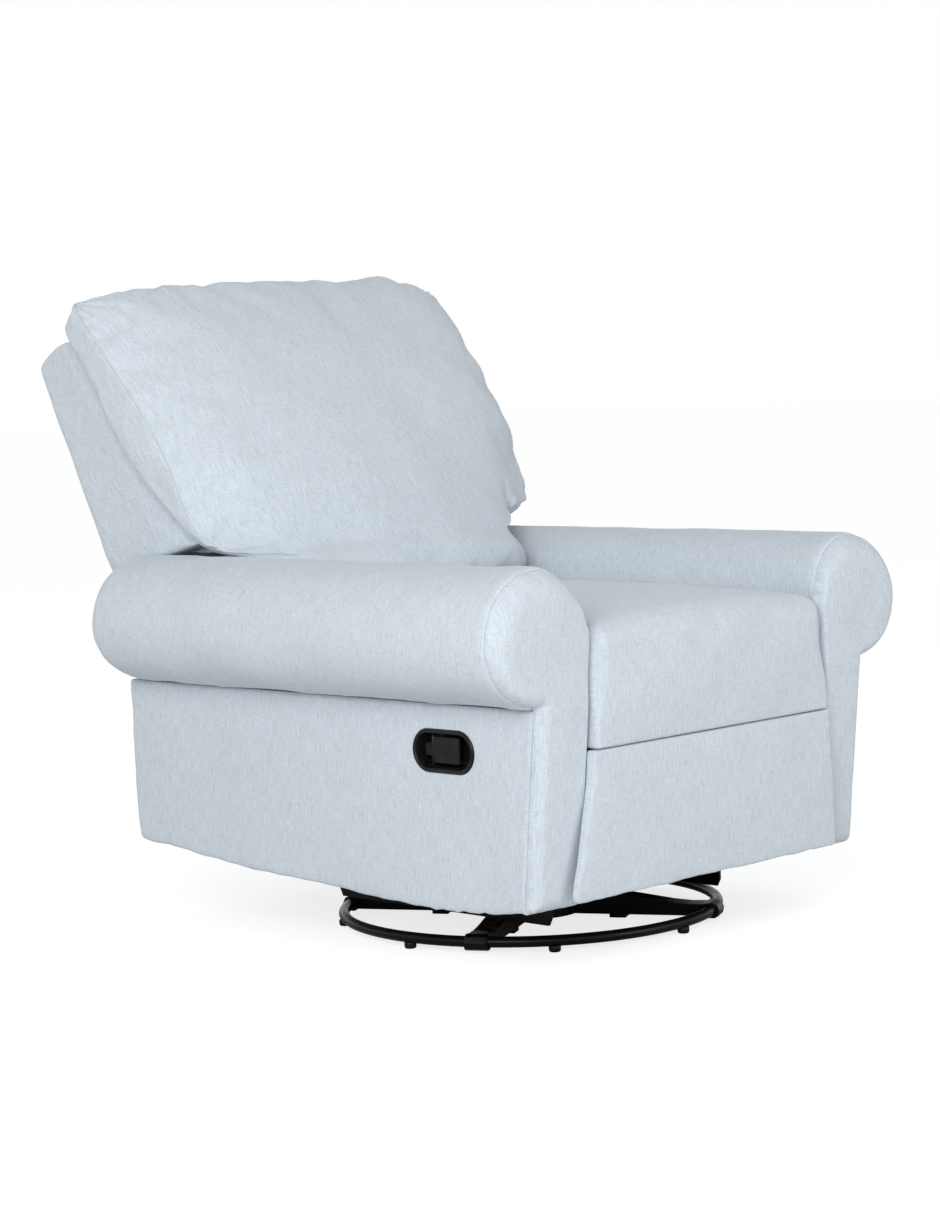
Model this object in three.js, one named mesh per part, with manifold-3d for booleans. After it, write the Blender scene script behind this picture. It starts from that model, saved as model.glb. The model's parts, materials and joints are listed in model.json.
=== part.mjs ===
// Swivel glider nursery chair with a reclining back, a lever-released footrest and rolled arms.
// Millimetres, +Z up. The chair faces -Y; +X is the sitter's left. While it is built, the origin
// is on the floor under the swivel; the last lines move it to the centre of the chair's footprint.
import * as THREE from 'three';
import { mergeVertices } from 'three/addons/utils/BufferGeometryUtils.js';
import Module from 'manifold-3d';

const wasm = await Module();
wasm.setup();

// ---------------------------------------------------------------- driving dimensions
const fit = 0.3; // gap between pieces that rest on each other
const runningClearance = 0.4; // radial clearance of a pin in its hole

// floor ring and cross
const ringRadius = 300;
const tubeRadius = 9;
const ringHeight = 17;
const glideRadius = 9.5;
const glideCount = 8;
const firstGlideAngle = 5;
const glideTop = 13;
const armCount = 4;
const firstArmAngle = 27.5;
const baseArmWidth = 36;
const baseArmWall = 3;
const baseArmBottom = 8;
const saddleBottom = 4.5;
const hubRadius = 80;
const hubTop = 50;
const hubWall = 4;
const armFootRadius = 148;
const armFootLength = 26;
const armFootBottom = 2.5;

// swivel bearing and turning frame
const boltRadius = 8;
const raceInner = 45;
const raceOuter = 78;
const raceHeight = 6.2;
const turntableThickness = 6;
const turntableLength = 220;
const bracketInnerX = 197;
const bracketThickness = 4;
const bracketBottom = 40;
const bracketReach = 232;
const bracketStripHeight = 52;
const crossbarWidth = 40;
const crossbarHeight = 21;
const crossbarWall = 2.5;

// swing links
const linkSpacing = 170; // fore-and-aft distance between the front and rear links
const swingTopZ = 220;
const swingLength = 105;
const swingEyeRadius = 14;
const swingPinRadius = 5;
const swingThickness = 5;
const swingSideGap = 3;

// carriage
const railThickness = 4;
const railEye = 16;
const carriageTubeRadius = 11;
const carriageTubeWall = 2;
const carriageTubeZ = 262;
const carriageTubeFrontY = -20;
const carriageTubeRearY = 130;

// body of the chair
const armInnerX = 276; // inner face of the arms
const armWall = 101; // from there to the outer face of the side panels
const bodyHalfWidth = armInnerX + armWall;
const rollCentreX = armInnerX + 89;
const rollCentreZ = 495;
const rollRadius = 105;
const armFrontY = -396;
const armBackY = 508;
const seamBandDepth = 20; // thickness of the arm's front facing
const postLean = 31; // how far the arm front falls back from the roll down to the floor end
const postBottomZ = 98;
const rollUndersideZ = 399;
const panelTopZ = 389.5;
const panelThickness = 20;
const panelBackY = 522;
const frameBoardX = armInnerX + 14.3;
const frameBoardThickness = 18.7;
const frameBoardBottom = 112;
const flapBottomZ = 345;
const rollEndRound = 33;
const rearPanelRise = 8; // the rear wall ends this far above the back's pivots
const ledgeDepth = 32;
const ledgeDrop = 22;
const ledgeThickness = 18;
const facingInset = 2; // the facing's edge lies this far inside the roll

// seat
const seatSideGap = 4;
const seatHalfWidth = armInnerX - seatSideGap;
const seatFrontTaper = 90; // from the seat's front to its full height
const seatBackTaper = 120; // and from where it falls to its back
const seatFrontY = -405;
const seatBackY = 360;
const seatEdgeZ = 505;
const seatCrown = 34;
const railBottomZ = 303;
const railTopZ = 328;
const seatBottomZ = railTopZ + fit;
const frontRailY = -330;
const rearRailY = 300;
const railDepth = 30;
const springWire = 2;
const springCount = 4;
const springAmplitude = 30;
const springPitch = 72;
const springTieY = 110;

// recliner mechanism
const plateOuterX = frameBoardX - fit;
const plateThickness = 5;
const pivotPinRadius = 6;
const recline = { y: 400, z: 330 };
const footPivot = { y: -60, z: 300 };
const footLinkLength = 230;
const lowerLinkAngle = -57.17; // lower link at rest, from straight ahead, upwards positive
const upperLinkAngle = 50.81; // upper link at rest
const footLinkThickness = 4;
const footEyeRadius = 12;
const lowerLinkX = plateOuterX - 16;
const upperLinkX = lowerLinkX - 8;
const ottomanBracketX = upperLinkX - 7.7;
const torqueTubeAt = 205;
const torqueTubeRadius = 9;

// footrest
const ottomanFaceY = -402;
const ottomanBackY = -382.3;
const ottomanBoardThickness = 12;
const ottomanBoardHalfWidth = ottomanBracketX - fit;
const ottomanTopZ = 318;
const ottomanBottomZ = 108;
const ottomanTopHalfWidth = armInnerX - seatSideGap;
const ottomanFlare = 32;
const ottomanFlareFromZ = 270;

// back
const backHalfWidth = 366;
const backLowerHalfWidth = plateOuterX - 28;
const backTail = 45; // how far the cover runs down behind the pivot
const backWall = 14;
const wingStartS = 243; // up the rear face, where it widens from between the arms to the full back
const backRearLow = { y: 467, z: 345 };
const backRearTop = { y: 740, z: 903 };
const backTopZ = 932;
const backTopY = 693;
const backFrontTopS = 385; // where the cover's front edge ends, up along the pillow's rear face
const backFrontLowS = 36; // and where it starts
const wingBottom = [[498, 600], [470, 612]]; // the wing's lower edge over the end of the arm
const backBoardThickness = 22;
const pillowRearLow = { y: 361, z: 624 };
const pillowRearTop = { y: 602, z: 927 };
const pillowEdgeDepth = 66;
const pillowCrown = 66;
const pillowHalfWidth = 404;
const pillowEarInset = 34; // the ears are this much narrower than the top
const pillowLowerHalfWidth = armInnerX - 6;
const pillowBottomS = -112;
const pillowTopS = 424;
const earBottomS = -6; // the ears' lower edge, up the pillow's rear face

// lever
const leverY = -192;
const leverZ = 325;
const leverLength = 127;
const leverHeight = 66;
const leverDepth = 28;
const leverWall = 3.5;
const leverFlange = 3;
const leverLip = 5;
const paddleHingeY = -160;
const paddleSink = 11; // how far the paddle's hinge lies behind the side panel's face
const paddleX = bodyHalfWidth - paddleSink;
const paddleThickness = 5;
const paddlePinRadius = 2.5;
const cableHoleRadius = 9;
const cableRadius = 2.5;
const cableEnd = { y: footPivot.y + 60, z: 296 };

// ---------------------------------------------------------------- finishes
const finish = (color, roughness, metalness) => new THREE.MeshStandardMaterial({ color, roughness,
  metalness });
const blackSteel = finish(0x101114, 0.32, 0.6);
const zincSteel = finish(0x8d9196, 0.45, 0.9);
const springSteel = finish(0x6c6e72, 0.4, 0.9);
const blackPlastic = finish(0x0b0b0d, 0.35, 0);
const timber = finish(0xb9935f, 0.7, 0);
const foam = finish(0xe8e2cf, 0.95, 0);
const linen = finish(0xd9dee2, 0.95, 0);

// ---------------------------------------------------------------- geometry helpers
const radians = THREE.MathUtils.degToRad;

/** Signed volume of a closed triangle mesh. */
function signedVolume(geometry) {
  const position = geometry.attributes.position;
  const index = geometry.index.array;
  const [a, b, c] = [new THREE.Vector3(), new THREE.Vector3(), new THREE.Vector3()];
  let volume = 0;
  for (let i = 0; i < index.length; i += 3) {
    a.fromBufferAttribute(position, index[i]);
    b.fromBufferAttribute(position, index[i + 1]);
    c.fromBufferAttribute(position, index[i + 2]);
    volume += a.dot(b.cross(c)) / 6;
  }
  return volume;
}

/** The same geometry with shared vertices merged and its faces pointing outwards. */
function closed(geometry) {
  const bare = new THREE.BufferGeometry();
  bare.setAttribute('position', geometry.attributes.position.clone());
  if (geometry.index) bare.setIndex(geometry.index.clone());
  const merged = mergeVertices(bare, 1e-4);
  if (signedVolume(merged) < 0) {
    const index = merged.index.array;
    for (let i = 0; i < index.length; i += 3) [index[i], index[i + 1]] = [index[i + 1], index[i]];
  }
  return merged;
}

function toManifold(geometry) {
  const merged = closed(geometry);
  return new wasm.Manifold(new wasm.Mesh({
    numProp: 3,
    vertProperties: new Float32Array(merged.attributes.position.array),
    triVerts: new Uint32Array(merged.index.array),
  }));
}

function fromManifold(manifold) {
  const mesh = manifold.getMesh();
  const geometry = new THREE.BufferGeometry();
  const points = new Float32Array((mesh.vertProperties.length / mesh.numProp) * 3);
  for (let i = 0; i < points.length / 3; i += 1) {
    for (let k = 0; k < 3; k += 1) points[3 * i + k] = mesh.vertProperties[mesh.numProp * i + k];
  }
  geometry.setAttribute('position', new THREE.BufferAttribute(points, 3));
  geometry.setIndex(new THREE.BufferAttribute(new Uint32Array(mesh.triVerts), 1));
  return geometry;
}

const join = (...pieces) => fromManifold(pieces.map(toManifold).reduce((sum, piece) => sum.add(piece)));
const cut = (body, ...tools) =>
  fromManifold(tools.map(toManifold).reduce((left, tool) => left.subtract(tool), toManifold(body)));

const shapeOf = (points) => new THREE.Shape(points.map(([a, b]) => new THREE.Vector2(a, b)));

/** A THREE.Shape or a list of points, extruded from one height to another along +Z. */
function extrudeZ(outline, from, to, curveSegments = 8) {
  const shape = Array.isArray(outline) ? shapeOf(outline) : outline;
  const geometry = new THREE.ExtrudeGeometry(shape, { depth: to - from, bevelEnabled: false,
    curveSegments });
  return geometry.translate(0, 0, from);
}

/** An outline in Y and Z, extruded along X between two values given in either order. */
function plateX(outline, x0, x1, curveSegments = 8) {
  const geometry = extrudeZ(outline, Math.min(x0, x1), Math.max(x0, x1), curveSegments);
  return geometry.applyMatrix4(new THREE.Matrix4().set(0, 0, 1, 0, 1, 0, 0, 0, 0, 1, 0, 0, 0, 0, 0, 1));
}

/** An outline in X and Z, extruded along Y. */
function plateY(outline, y0, y1, curveSegments = 8) {
  const geometry = extrudeZ(outline, -y1, -y0, curveSegments);
  return geometry.applyMatrix4(new THREE.Matrix4().set(1, 0, 0, 0, 0, 0, -1, 0, 0, 1, 0, 0, 0, 0, 0, 1));
}

function box(x0, x1, y0, y1, z0, z1) {
  const geometry = new THREE.BoxGeometry(Math.abs(x1 - x0), y1 - y0, z1 - z0);
  return geometry.translate((x0 + x1) / 2, (y0 + y1) / 2, (z0 + z1) / 2);
}

/** A round bar along X at (y, z). */
function barX(radius, x0, x1, y, z, sides = 12) {
  const geometry = new THREE.CylinderGeometry(radius, radius, Math.abs(x1 - x0), sides);
  return geometry.rotateZ(Math.PI / 2).translate((x0 + x1) / 2, y, z);
}

/** A round bar along Z at (x, y). */
function barZ(radius, x, y, z0, z1, sides = 12) {
  return new THREE.CylinderGeometry(radius, radius, z1 - z0, sides).rotateX(Math.PI / 2).translate(x, y,
    (z0 + z1) / 2);
}

/** A profile of [radius, height] points turned about the Z axis; the profile closes on itself. */
function turned(profile, sides = 40) {
  const points = [...profile, profile[0]].map(([r, z]) => new THREE.Vector2(r, z));
  return closed(new THREE.LatheGeometry(points, sides).rotateX(Math.PI / 2));
}

/** A flat bar with round ends between two points of the YZ plane. */
function capsule(from, to, radius) {
  const along = Math.atan2(to.z - from.z, to.y - from.y);
  const shape = new THREE.Shape();
  shape.absarc(from.y, from.z, radius, along + Math.PI / 2, along + 1.5 * Math.PI, false);
  shape.absarc(to.y, to.z, radius, along - Math.PI / 2, along + Math.PI / 2, false);
  return shape;
}

/** A stadium outline in Y and Z, longer along Y. */
function stadium(y, z, length, height) {
  const half = (length - height) / 2;
  return capsule({ y: y - half, z }, { y: y + half, z }, height / 2);
}

/** A closed skin over rings of points that all have the same count. */
function loft(rings) {
  const count = rings[0].length;
  const positions = rings.flat().flatMap((p) => [p.x, p.y, p.z]);
  const index = [];
  for (let r = 0; r + 1 < rings.length; r += 1) {
    for (let i = 0; i < count; i += 1) {
      const a = r * count + i;
      const b = r * count + ((i + 1) % count);
      index.push(a, b, a + count, b, b + count, a + count);
    }
  }
  for (const [ring, flip] of [[0, true], [rings.length - 1, false]]) {
    const centre = rings[ring].reduce((sum, p) => sum.add(p), new THREE.Vector3()).divideScalar(count);
    const hub = positions.length / 3;
    positions.push(centre.x, centre.y, centre.z);
    for (let i = 0; i < count; i += 1) {
      const a = ring * count + i;
      const b = ring * count + ((i + 1) % count);
      index.push(...(flip ? [hub, b, a] : [hub, a, b]));
    }
  }
  const geometry = new THREE.BufferGeometry();
  geometry.setAttribute('position', new THREE.Float32BufferAttribute(positions, 3));
  geometry.setIndex(index);
  return closed(geometry);
}

const chair = new THREE.Group();

function add(name, geometry, material) {
  const mesh = new THREE.Mesh(closed(geometry), material);
  mesh.name = name;
  chair.add(mesh);
}

const sides = [['left', 1], ['right', -1]];

// ---------------------------------------------------------------- floor ring, cross and bearing
const ringTube = (radius) => new THREE.TorusGeometry(ringRadius, radius, 10, 48).translate(0, 0,
  ringHeight);

function baseRing() {
  add('base_ring', ringTube(tubeRadius), blackSteel);
}

function floorGlides() {
  for (let i = 0; i < glideCount; i += 1) {
    const angle = radians(firstGlideAngle + (360 / glideCount) * i);
    const foot = new THREE.CylinderGeometry(glideRadius, glideRadius - 1.5, glideTop,
      12).rotateX(Math.PI / 2);
    foot.translate(ringRadius * Math.cos(angle), ringRadius * Math.sin(angle), glideTop / 2);
    add(`floor_glide_${i + 1}`, cut(foot, ringTube(tubeRadius + fit)), blackPlastic);
  }
}

/** Side outline of a channel arm in [radius, height]: it falls from the hub and swells over the ring. */
function baseArmOutline(inset) {
  const fall = [[hubRadius, hubTop - 2], [120, 46], [165, 39], [200, 34], [234, 29], [263, 26.5]];
  return fall.map(([r, z]) => [r, z - inset]);
}

function baseArm(angle) {
  const halfWidth = baseArmWidth / 2;
  const collar = tubeRadius + 5;
  const outer = ringRadius + collar;
  const solid = plateX([
    [outer, ringHeight], [outer - 2, baseArmBottom], [outer - 8, saddleBottom],
    [ringRadius - collar + 8, saddleBottom], [ringRadius - collar + 2, baseArmBottom],
    [hubRadius - 2, baseArmBottom], ...baseArmOutline(0),
    [ringRadius - collar, ringHeight + tubeRadius + 1], [ringRadius, ringHeight + tubeRadius + baseArmWall],
    [outer - 4, ringHeight + tubeRadius],
  ], -halfWidth, halfWidth);
  const hollow = plateX([
    [ringRadius - collar - 3, saddleBottom - 5], [hubRadius - 5, saddleBottom - 5],
    [hubRadius - 5, hubTop - 2 - baseArmWall], ...baseArmOutline(baseArmWall),
    [ringRadius - collar - 3, 26.5 - baseArmWall],
  ], -halfWidth + baseArmWall, halfWidth - baseArmWall);
  const foot = box(-halfWidth, halfWidth, armFootRadius - armFootLength / 2,
    armFootRadius + armFootLength / 2,
    armFootBottom, baseArmBottom + baseArmWall);
  return join(cut(solid, hollow), foot).rotateZ(radians(angle - 90));
}

function baseCross() {
  const boss = hubWall + boltRadius + 4;
  const hub = turned([
    [boltRadius + runningClearance, hubTop], [hubRadius, hubTop], [hubRadius, baseArmBottom],
    [hubRadius - hubWall, baseArmBottom], [hubRadius - hubWall, hubTop - hubWall], [boss, hubTop - hubWall],
    [boss, 30], [boltRadius + runningClearance, 30],
  ]);
  const arms = [];
  for (let i = 0; i < armCount; i += 1) arms.push(baseArm(firstArmAngle + (360 / armCount) * i));
  add('base_cross', cut(join(hub, ...arms), ringTube(tubeRadius + fit)), blackSteel);
}

const lowerRaceZ = hubTop + fit;
const upperRaceZ = lowerRaceZ + raceHeight + fit;
const turntableZ = upperRaceZ + raceHeight + fit;
const turntableTop = turntableZ + turntableThickness;

function bearing() {
  const race = (z) => turned([[raceInner, z], [raceOuter, z], [raceOuter, z + raceHeight], [raceInner,
    z + raceHeight]]);
  add('swivel_lower_race', race(lowerRaceZ), zincSteel);
  add('swivel_upper_race', race(upperRaceZ), zincSteel);
  const head = boltRadius + 7;
  add('pivot_bolt', turned([
    [0.01, 20], [head - 1, 20], [head - 1, 30 - fit], [boltRadius, 30 - fit], [boltRadius,
      turntableTop + fit],
    [head, turntableTop + fit], [head, turntableTop + 8], [0.01, turntableTop + 8],
  ], 24), zincSteel);
}

// ---------------------------------------------------------------- turning frame and swing links
const linkYs = [['front', -linkSpacing / 2], ['rear', linkSpacing / 2]];
const swingBottomZ = swingTopZ - swingLength;
const bracketOuterX = bracketInnerX + bracketThickness;
const swingX = bracketOuterX + swingSideGap;
const railX = swingX + swingThickness + swingSideGap + 1;

function turningFrame() {
  const plate = box(-turntableLength / 2, turntableLength / 2, -linkSpacing / 2 - crossbarWidth / 2,
    linkSpacing / 2 + crossbarWidth / 2, turntableZ, turntableTop);
  add('turntable_plate', cut(plate, barZ(boltRadius + runningClearance, 0, 0, turntableZ - 1,
    turntableTop + 1)), blackSteel);
  const barZ0 = turntableTop + fit;
  for (const [end, y] of linkYs) {
    const outer = box(-bracketInnerX + fit, bracketInnerX - fit, y - crossbarWidth / 2,
      y + crossbarWidth / 2,
      barZ0, barZ0 + crossbarHeight);
    const inner = box(-bracketInnerX, bracketInnerX, y - crossbarWidth / 2 + crossbarWall,
      y + crossbarWidth / 2 - crossbarWall, barZ0 + crossbarWall, barZ0 + crossbarHeight - crossbarWall);
    add(`glide_crossbar_${end}`, cut(outer, inner), blackSteel);
  }
}

function glideBrackets() {
  const stripTop = bracketBottom + bracketStripHeight;
  const strip = [
    [-bracketReach + 6, bracketBottom], [bracketReach - 6, bracketBottom], [bracketReach,
      bracketBottom + 12],
    [bracketReach, stripTop], [-bracketReach, stripTop], [-bracketReach, bracketBottom + 12],
  ];
  for (const [side, s] of sides) {
    const plate = plateX(strip, s * bracketInnerX, s * bracketOuterX);
    const towers = linkYs.map(([, y]) => plateX(
      capsule({ y, z: bracketBottom + 30 }, { y, z: swingTopZ }, swingEyeRadius + 3), s * bracketInnerX,
        s * bracketOuterX));
    const holes = linkYs.map(([, y]) =>
      barX(swingPinRadius + runningClearance, s * (bracketInnerX - 2), s * (bracketOuterX + 2), y,
        swingTopZ));
    add(`glide_bracket_${side}`, cut(join(plate, ...towers), ...holes), blackSteel);
  }
}

/** A hanging link with its two rivets: the upper one turns in the bracket, the lower one in the rail. */
function swingLinks() {
  for (const [side, s] of sides) {
    for (const [end, y] of linkYs) {
      const outer = swingX + swingThickness;
      const bar = plateX(capsule({ y, z: swingTopZ }, { y, z: swingBottomZ }, swingEyeRadius), s * swingX,
        s * outer);
      const upper = join(
        barX(swingPinRadius, s * (bracketInnerX - 4), s * (swingX + 1), y, swingTopZ),
        barX(swingPinRadius + 3, s * (bracketOuterX + fit), s * (swingX + 1), y, swingTopZ),
        barX(swingPinRadius + 3, s * (bracketInnerX - 4), s * (bracketInnerX - fit), y, swingTopZ),
      );
      const lower = join(
        barX(swingPinRadius, s * (outer - 1), s * (railX + railThickness + 4), y, swingBottomZ),
        barX(swingPinRadius + 3, s * (outer - 1), s * (railX - fit), y, swingBottomZ),
        barX(swingPinRadius + 3, s * (railX + railThickness + fit), s * (railX + railThickness + 4), y,
          swingBottomZ),
      );
      add(`swing_link_${end}_${side}`, join(bar, upper, lower), zincSteel);
    }
  }
}

// ---------------------------------------------------------------- carriage
const plateInnerX = plateOuterX - plateThickness;

function carriageRails() {
  const half = linkSpacing / 2;
  const outline = [
    [-half - railEye + 5, swingBottomZ - railEye], [half + railEye - 5, swingBottomZ - railEye],
    [half + railEye, swingBottomZ - railEye + 6], [half + railEye, swingBottomZ + 40],
    [carriageTubeRearY + 26, carriageTubeZ - 34], [carriageTubeRearY + 26, carriageTubeZ + 20],
    [carriageTubeFrontY - 26, carriageTubeZ + 20], [carriageTubeFrontY - 26, carriageTubeZ - 34],
    [-half - railEye, swingBottomZ + railEye], [-half - railEye, swingBottomZ - railEye + 6],
  ];
  for (const [side, s] of sides) {
    const through = [s * (railX - 2), s * (railX + railThickness + 2)];
    const pinHoles = linkYs.map(([, y]) => barX(swingPinRadius + runningClearance, ...through, y,
      swingBottomZ));
    const tubeHoles = [carriageTubeFrontY, carriageTubeRearY].map((y) =>
      barX(carriageTubeRadius + fit, ...through, y, carriageTubeZ, 20));
    const plate = plateX(outline, s * railX, s * (railX + railThickness));
    add(`carriage_rail_${side}`, cut(plate, ...pinHoles, ...tubeHoles), blackSteel);
  }
}

function carriageTubes() {
  const reach = plateInnerX - fit;
  for (const [end, y] of [['front', carriageTubeFrontY], ['rear', carriageTubeRearY]]) {
    const tube = cut(
      barX(carriageTubeRadius, -reach, reach, y, carriageTubeZ, 20),
      barX(carriageTubeRadius - carriageTubeWall, -reach - 1, reach + 1, y, carriageTubeZ, 20),
    );
    add(`carriage_tube_${end}`, tube, blackSteel);
  }
}

function mechanismPlates() {
  const outline = [
    [footPivot.y - 20, footPivot.z - 18], [footPivot.y - 8, carriageTubeZ - 16], [carriageTubeRearY + 24,
      carriageTubeZ - 16],
    [carriageTubeRearY + 60, recline.z - 36], [recline.y + 12, recline.z - 16], [recline.y + 20,
      recline.z - 4],
    [recline.y + 12, flapBottomZ - 3], [footPivot.y - 8, flapBottomZ - 3], [footPivot.y - 20,
      footPivot.z + 16],
  ];
  for (const [side, s] of sides) {
    const holes = [footPivot, recline].map((p) =>
      barX(pivotPinRadius + runningClearance, s * (plateInnerX - 2), s * (plateOuterX + 2), p.y, p.z));
    add(`mechanism_plate_${side}`, cut(plateX(outline, s * plateInnerX, s * plateOuterX), ...holes),
      zincSteel);
  }
}

// ---------------------------------------------------------------- arms
/** Y of the arm front's face: upright beside the roll, leaning back below it. */
const frontFaceY = (z) => armFrontY + postLean * Math.max(0,
  (rollUndersideZ - z) / (rollUndersideZ - postBottomZ));

/** The hem of the side panel, in [y, z] from back to front: it dips towards the front. */
const hem = [[panelBackY, 134], [451, 128], [250, 108], [100, 102], [-66, 90], [-207, 88]];
const leverHole = () => stadium(leverY, leverZ, leverLength - 2 * leverLip, leverHeight - 2 * leverLip);

/** Plywood board inside each arm; the lever's cable passes through the right one. */
function armFrames() {
  for (const [side, s] of sides) {
    const outline = [
      [frontFaceY(panelTopZ) + seamBandDepth + fit, panelTopZ],
        [frontFaceY(frameBoardBottom) + seamBandDepth + fit, frameBoardBottom],
      [panelBackY - panelThickness - fit, frameBoardBottom + 24], [panelBackY - panelThickness - fit,
        panelTopZ],
    ];
    let board = plateX(outline, s * frameBoardX, s * (frameBoardX + frameBoardThickness));
    if (s < 0) {
      board = cut(board, barX(cableHoleRadius, s * (frameBoardX - 2),
        s * (frameBoardX + frameBoardThickness + 2),
        cableEnd.y, cableEnd.z));
    }
    add(`arm_frame_${side}`, board, timber);
  }
}

/** Fabric-covered side and rear walls of an arm in one board, with the lever's opening on the right. */
function sidePanels() {
  for (const [side, s] of sides) {
    const bandY = (z) => frontFaceY(z) + seamBandDepth;
    const outer = plateX([[bandY(panelTopZ), panelTopZ], [panelBackY, panelTopZ], ...hem,
      [bandY(postBottomZ - 2), postBottomZ - 2]],
      s * (bodyHalfWidth - panelThickness), s * bodyHalfWidth);
    const rear = box(s * frameBoardX, s * (bodyHalfWidth - panelThickness / 2), panelBackY - panelThickness,
      panelBackY,
      hem[0][1], panelTopZ);
    let panel = join(outer, rear);
    if (s < 0) panel = cut(panel, plateX(leverHole(), s * (bodyHalfWidth + 2),
      s * (bodyHalfWidth - panelThickness - 2)));
    add(`side_panel_${side}`, panel, linen);
  }
}

/** Cross-section of the padded roll in X and Z, with the flap that lines the inside of the arm. */
function rollSection(inset, steps) {
  const outer = rollRadius - inset;
  const crownZ = rollCentreZ + outer;
  const innerX = armInnerX + inset;
  const innerRadius = rollCentreX - innerX;
  const points = [[innerX, flapBottomZ], [frameBoardX - fit, flapBottomZ], [frameBoardX - fit,
    panelTopZ + fit],
    [rollCentreX, Math.max(panelTopZ + fit, rollCentreZ - outer)]];
  for (let i = 1; i <= steps; i += 1) {
    const angle = -Math.PI / 2 + (Math.PI * i) / steps;
    points.push([rollCentreX + outer * Math.cos(angle), rollCentreZ + outer * Math.sin(angle)]);
  }
  for (let i = 1; i <= steps / 2; i += 1) {
    const angle = Math.PI / 2 + (Math.PI * i) / steps;
    points.push([rollCentreX + innerRadius * Math.cos(angle),
      crownZ - innerRadius + innerRadius * Math.sin(angle)]);
  }
  return points;
}

function armRolls() {
  const section = rollSection(0, 16);
  const ring = (s, back, scale) => section.map(([x, z]) => {
    const y = back ?? frontFaceY(z) + seamBandDepth + fit;
    const k = z < panelTopZ + 1 ? 1 : scale; // the flap and the seat on the frame keep their shape
    return new THREE.Vector3(s * (rollCentreX + (x - rollCentreX) * k), y,
      rollCentreZ + (z - rollCentreZ) * k);
  });
  for (const [side, s] of sides) {
    const rings = [ring(s, null, 1), ring(s, armBackY - rollEndRound, 1)];
    for (const [back, scale] of [[0.35, 0.94], [0.12, 0.84], [0, 0.72]]) {
      rings.push(ring(s, armBackY - rollEndRound * back, scale));
    }
    add(`arm_roll_${side}`, loft(rings), linen);
  }
}

/** Facing of the arm's front: an upright post that leans back, under the end of the roll. */
function armFronts() {
  const depth = seamBandDepth - fit;
  const outline = rollSection(facingInset, 16);
  outline[0] = [armInnerX, rollUndersideZ - 1];
  outline[1] = [frameBoardX, rollUndersideZ - 1];
  outline[2] = [frameBoardX + 20, rollUndersideZ - 1];
  for (const [side, s] of sides) {
    const head = plateY(outline.map(([x, z]) => [s * Math.max(x, armInnerX), z]), armFrontY,
      armFrontY + depth);
    const post = plateX([
      [frontFaceY(rollUndersideZ), rollUndersideZ], [frontFaceY(rollUndersideZ) + depth, rollUndersideZ],
      [frontFaceY(postBottomZ) + depth, postBottomZ], [frontFaceY(postBottomZ), postBottomZ],
    ], s * armInnerX, s * bodyHalfWidth);
    add(`arm_front_${side}`, join(head, post), linen);
  }
}

// ---------------------------------------------------------------- seat
/** Section of the seat cushion in X and Z: flat under, upright sides, crowned top. */
function cushionRing(y, halfWidth, bottom, edge, crown) {
  const points = [[-halfWidth + 6, bottom], [halfWidth - 6, bottom], [halfWidth, bottom + 8]];
  const steps = 8;
  for (let i = 0; i <= steps; i += 1) {
    const u = 1 - (2 * i) / steps;
    const soft = Math.abs(u) === 1 ? 14 : 0;
    points.push([halfWidth * u, edge + crown * (1 - u * u) - soft]);
  }
  points.push([-halfWidth, bottom + 8]);
  return points.map(([x, z]) => new THREE.Vector3(x, y, z));
}

function seat() {
  const rings = [
    cushionRing(seatFrontY, seatHalfWidth - 8, seatBottomZ + 12, seatEdgeZ - 35, seatCrown * 0.6),
    cushionRing(seatFrontY + 9, seatHalfWidth - 2, seatBottomZ + 2, seatEdgeZ - 12, seatCrown * 0.85),
    cushionRing(seatFrontY + 28, seatHalfWidth, seatBottomZ, seatEdgeZ, seatCrown * 0.95),
    cushionRing(seatFrontY + seatFrontTaper, seatHalfWidth, seatBottomZ, seatEdgeZ + 2, seatCrown),
    cushionRing(0, seatHalfWidth, seatBottomZ, seatEdgeZ, seatCrown * 0.9),
    cushionRing(seatBackY - seatBackTaper, seatHalfWidth, seatBottomZ, seatEdgeZ - 5, seatCrown * 0.6),
    cushionRing(seatBackY, seatHalfWidth - 6, seatBottomZ + 6, seatEdgeZ - 16, seatCrown * 0.4),
  ];
  add('seat_cushion', loft(rings), linen);
  const half = railDepth / 2;
  add('seat_front_rail', box(-frameBoardX + fit, frameBoardX - fit, frontRailY - half, frontRailY + half,
    railBottomZ, railTopZ), timber);
  add('seat_rear_rail', box(-plateInnerX + fit, plateInnerX - fit, rearRailY - half, rearRailY + half,
    railBottomZ, railTopZ), timber);
}

/** Sinuous wires from rail to rail, tied across by two straight wires. */
function seatSprings() {
  const z = railTopZ - 7;
  const from = frontRailY + railDepth / 2 + fit;
  const to = rearRailY - railDepth / 2 - fit;
  const waves = Math.round((to - from) / springPitch);
  const wires = [];
  for (let k = 0; k < springCount; k += 1) {
    const x = (k - (springCount - 1) / 2) * (seatHalfWidth / (springCount / 2));
    const outline = [];
    const steps = waves * 4;
    const across = (i) => x + springAmplitude * Math.sin((Math.PI * 2 * i) / 4);
    for (let i = 0; i <= steps; i += 1) outline.push([across(i) - springWire,
      from + ((to - from) * i) / steps]);
    for (let i = steps; i >= 0; i -= 1) outline.push([across(i) + springWire,
      from + ((to - from) * i) / steps]);
    wires.push(extrudeZ(outline, z - springWire, z + springWire));
  }
  const reach = (seatHalfWidth / (springCount / 2)) * ((springCount - 1) / 2) + springAmplitude;
  for (const y of [-springTieY, springTieY]) {
    wires.push(box(-reach, reach, y - springWire, y + springWire, z - springWire, z + springWire));
  }
  add('seat_springs', join(...wires), springSteel);
}

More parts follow.
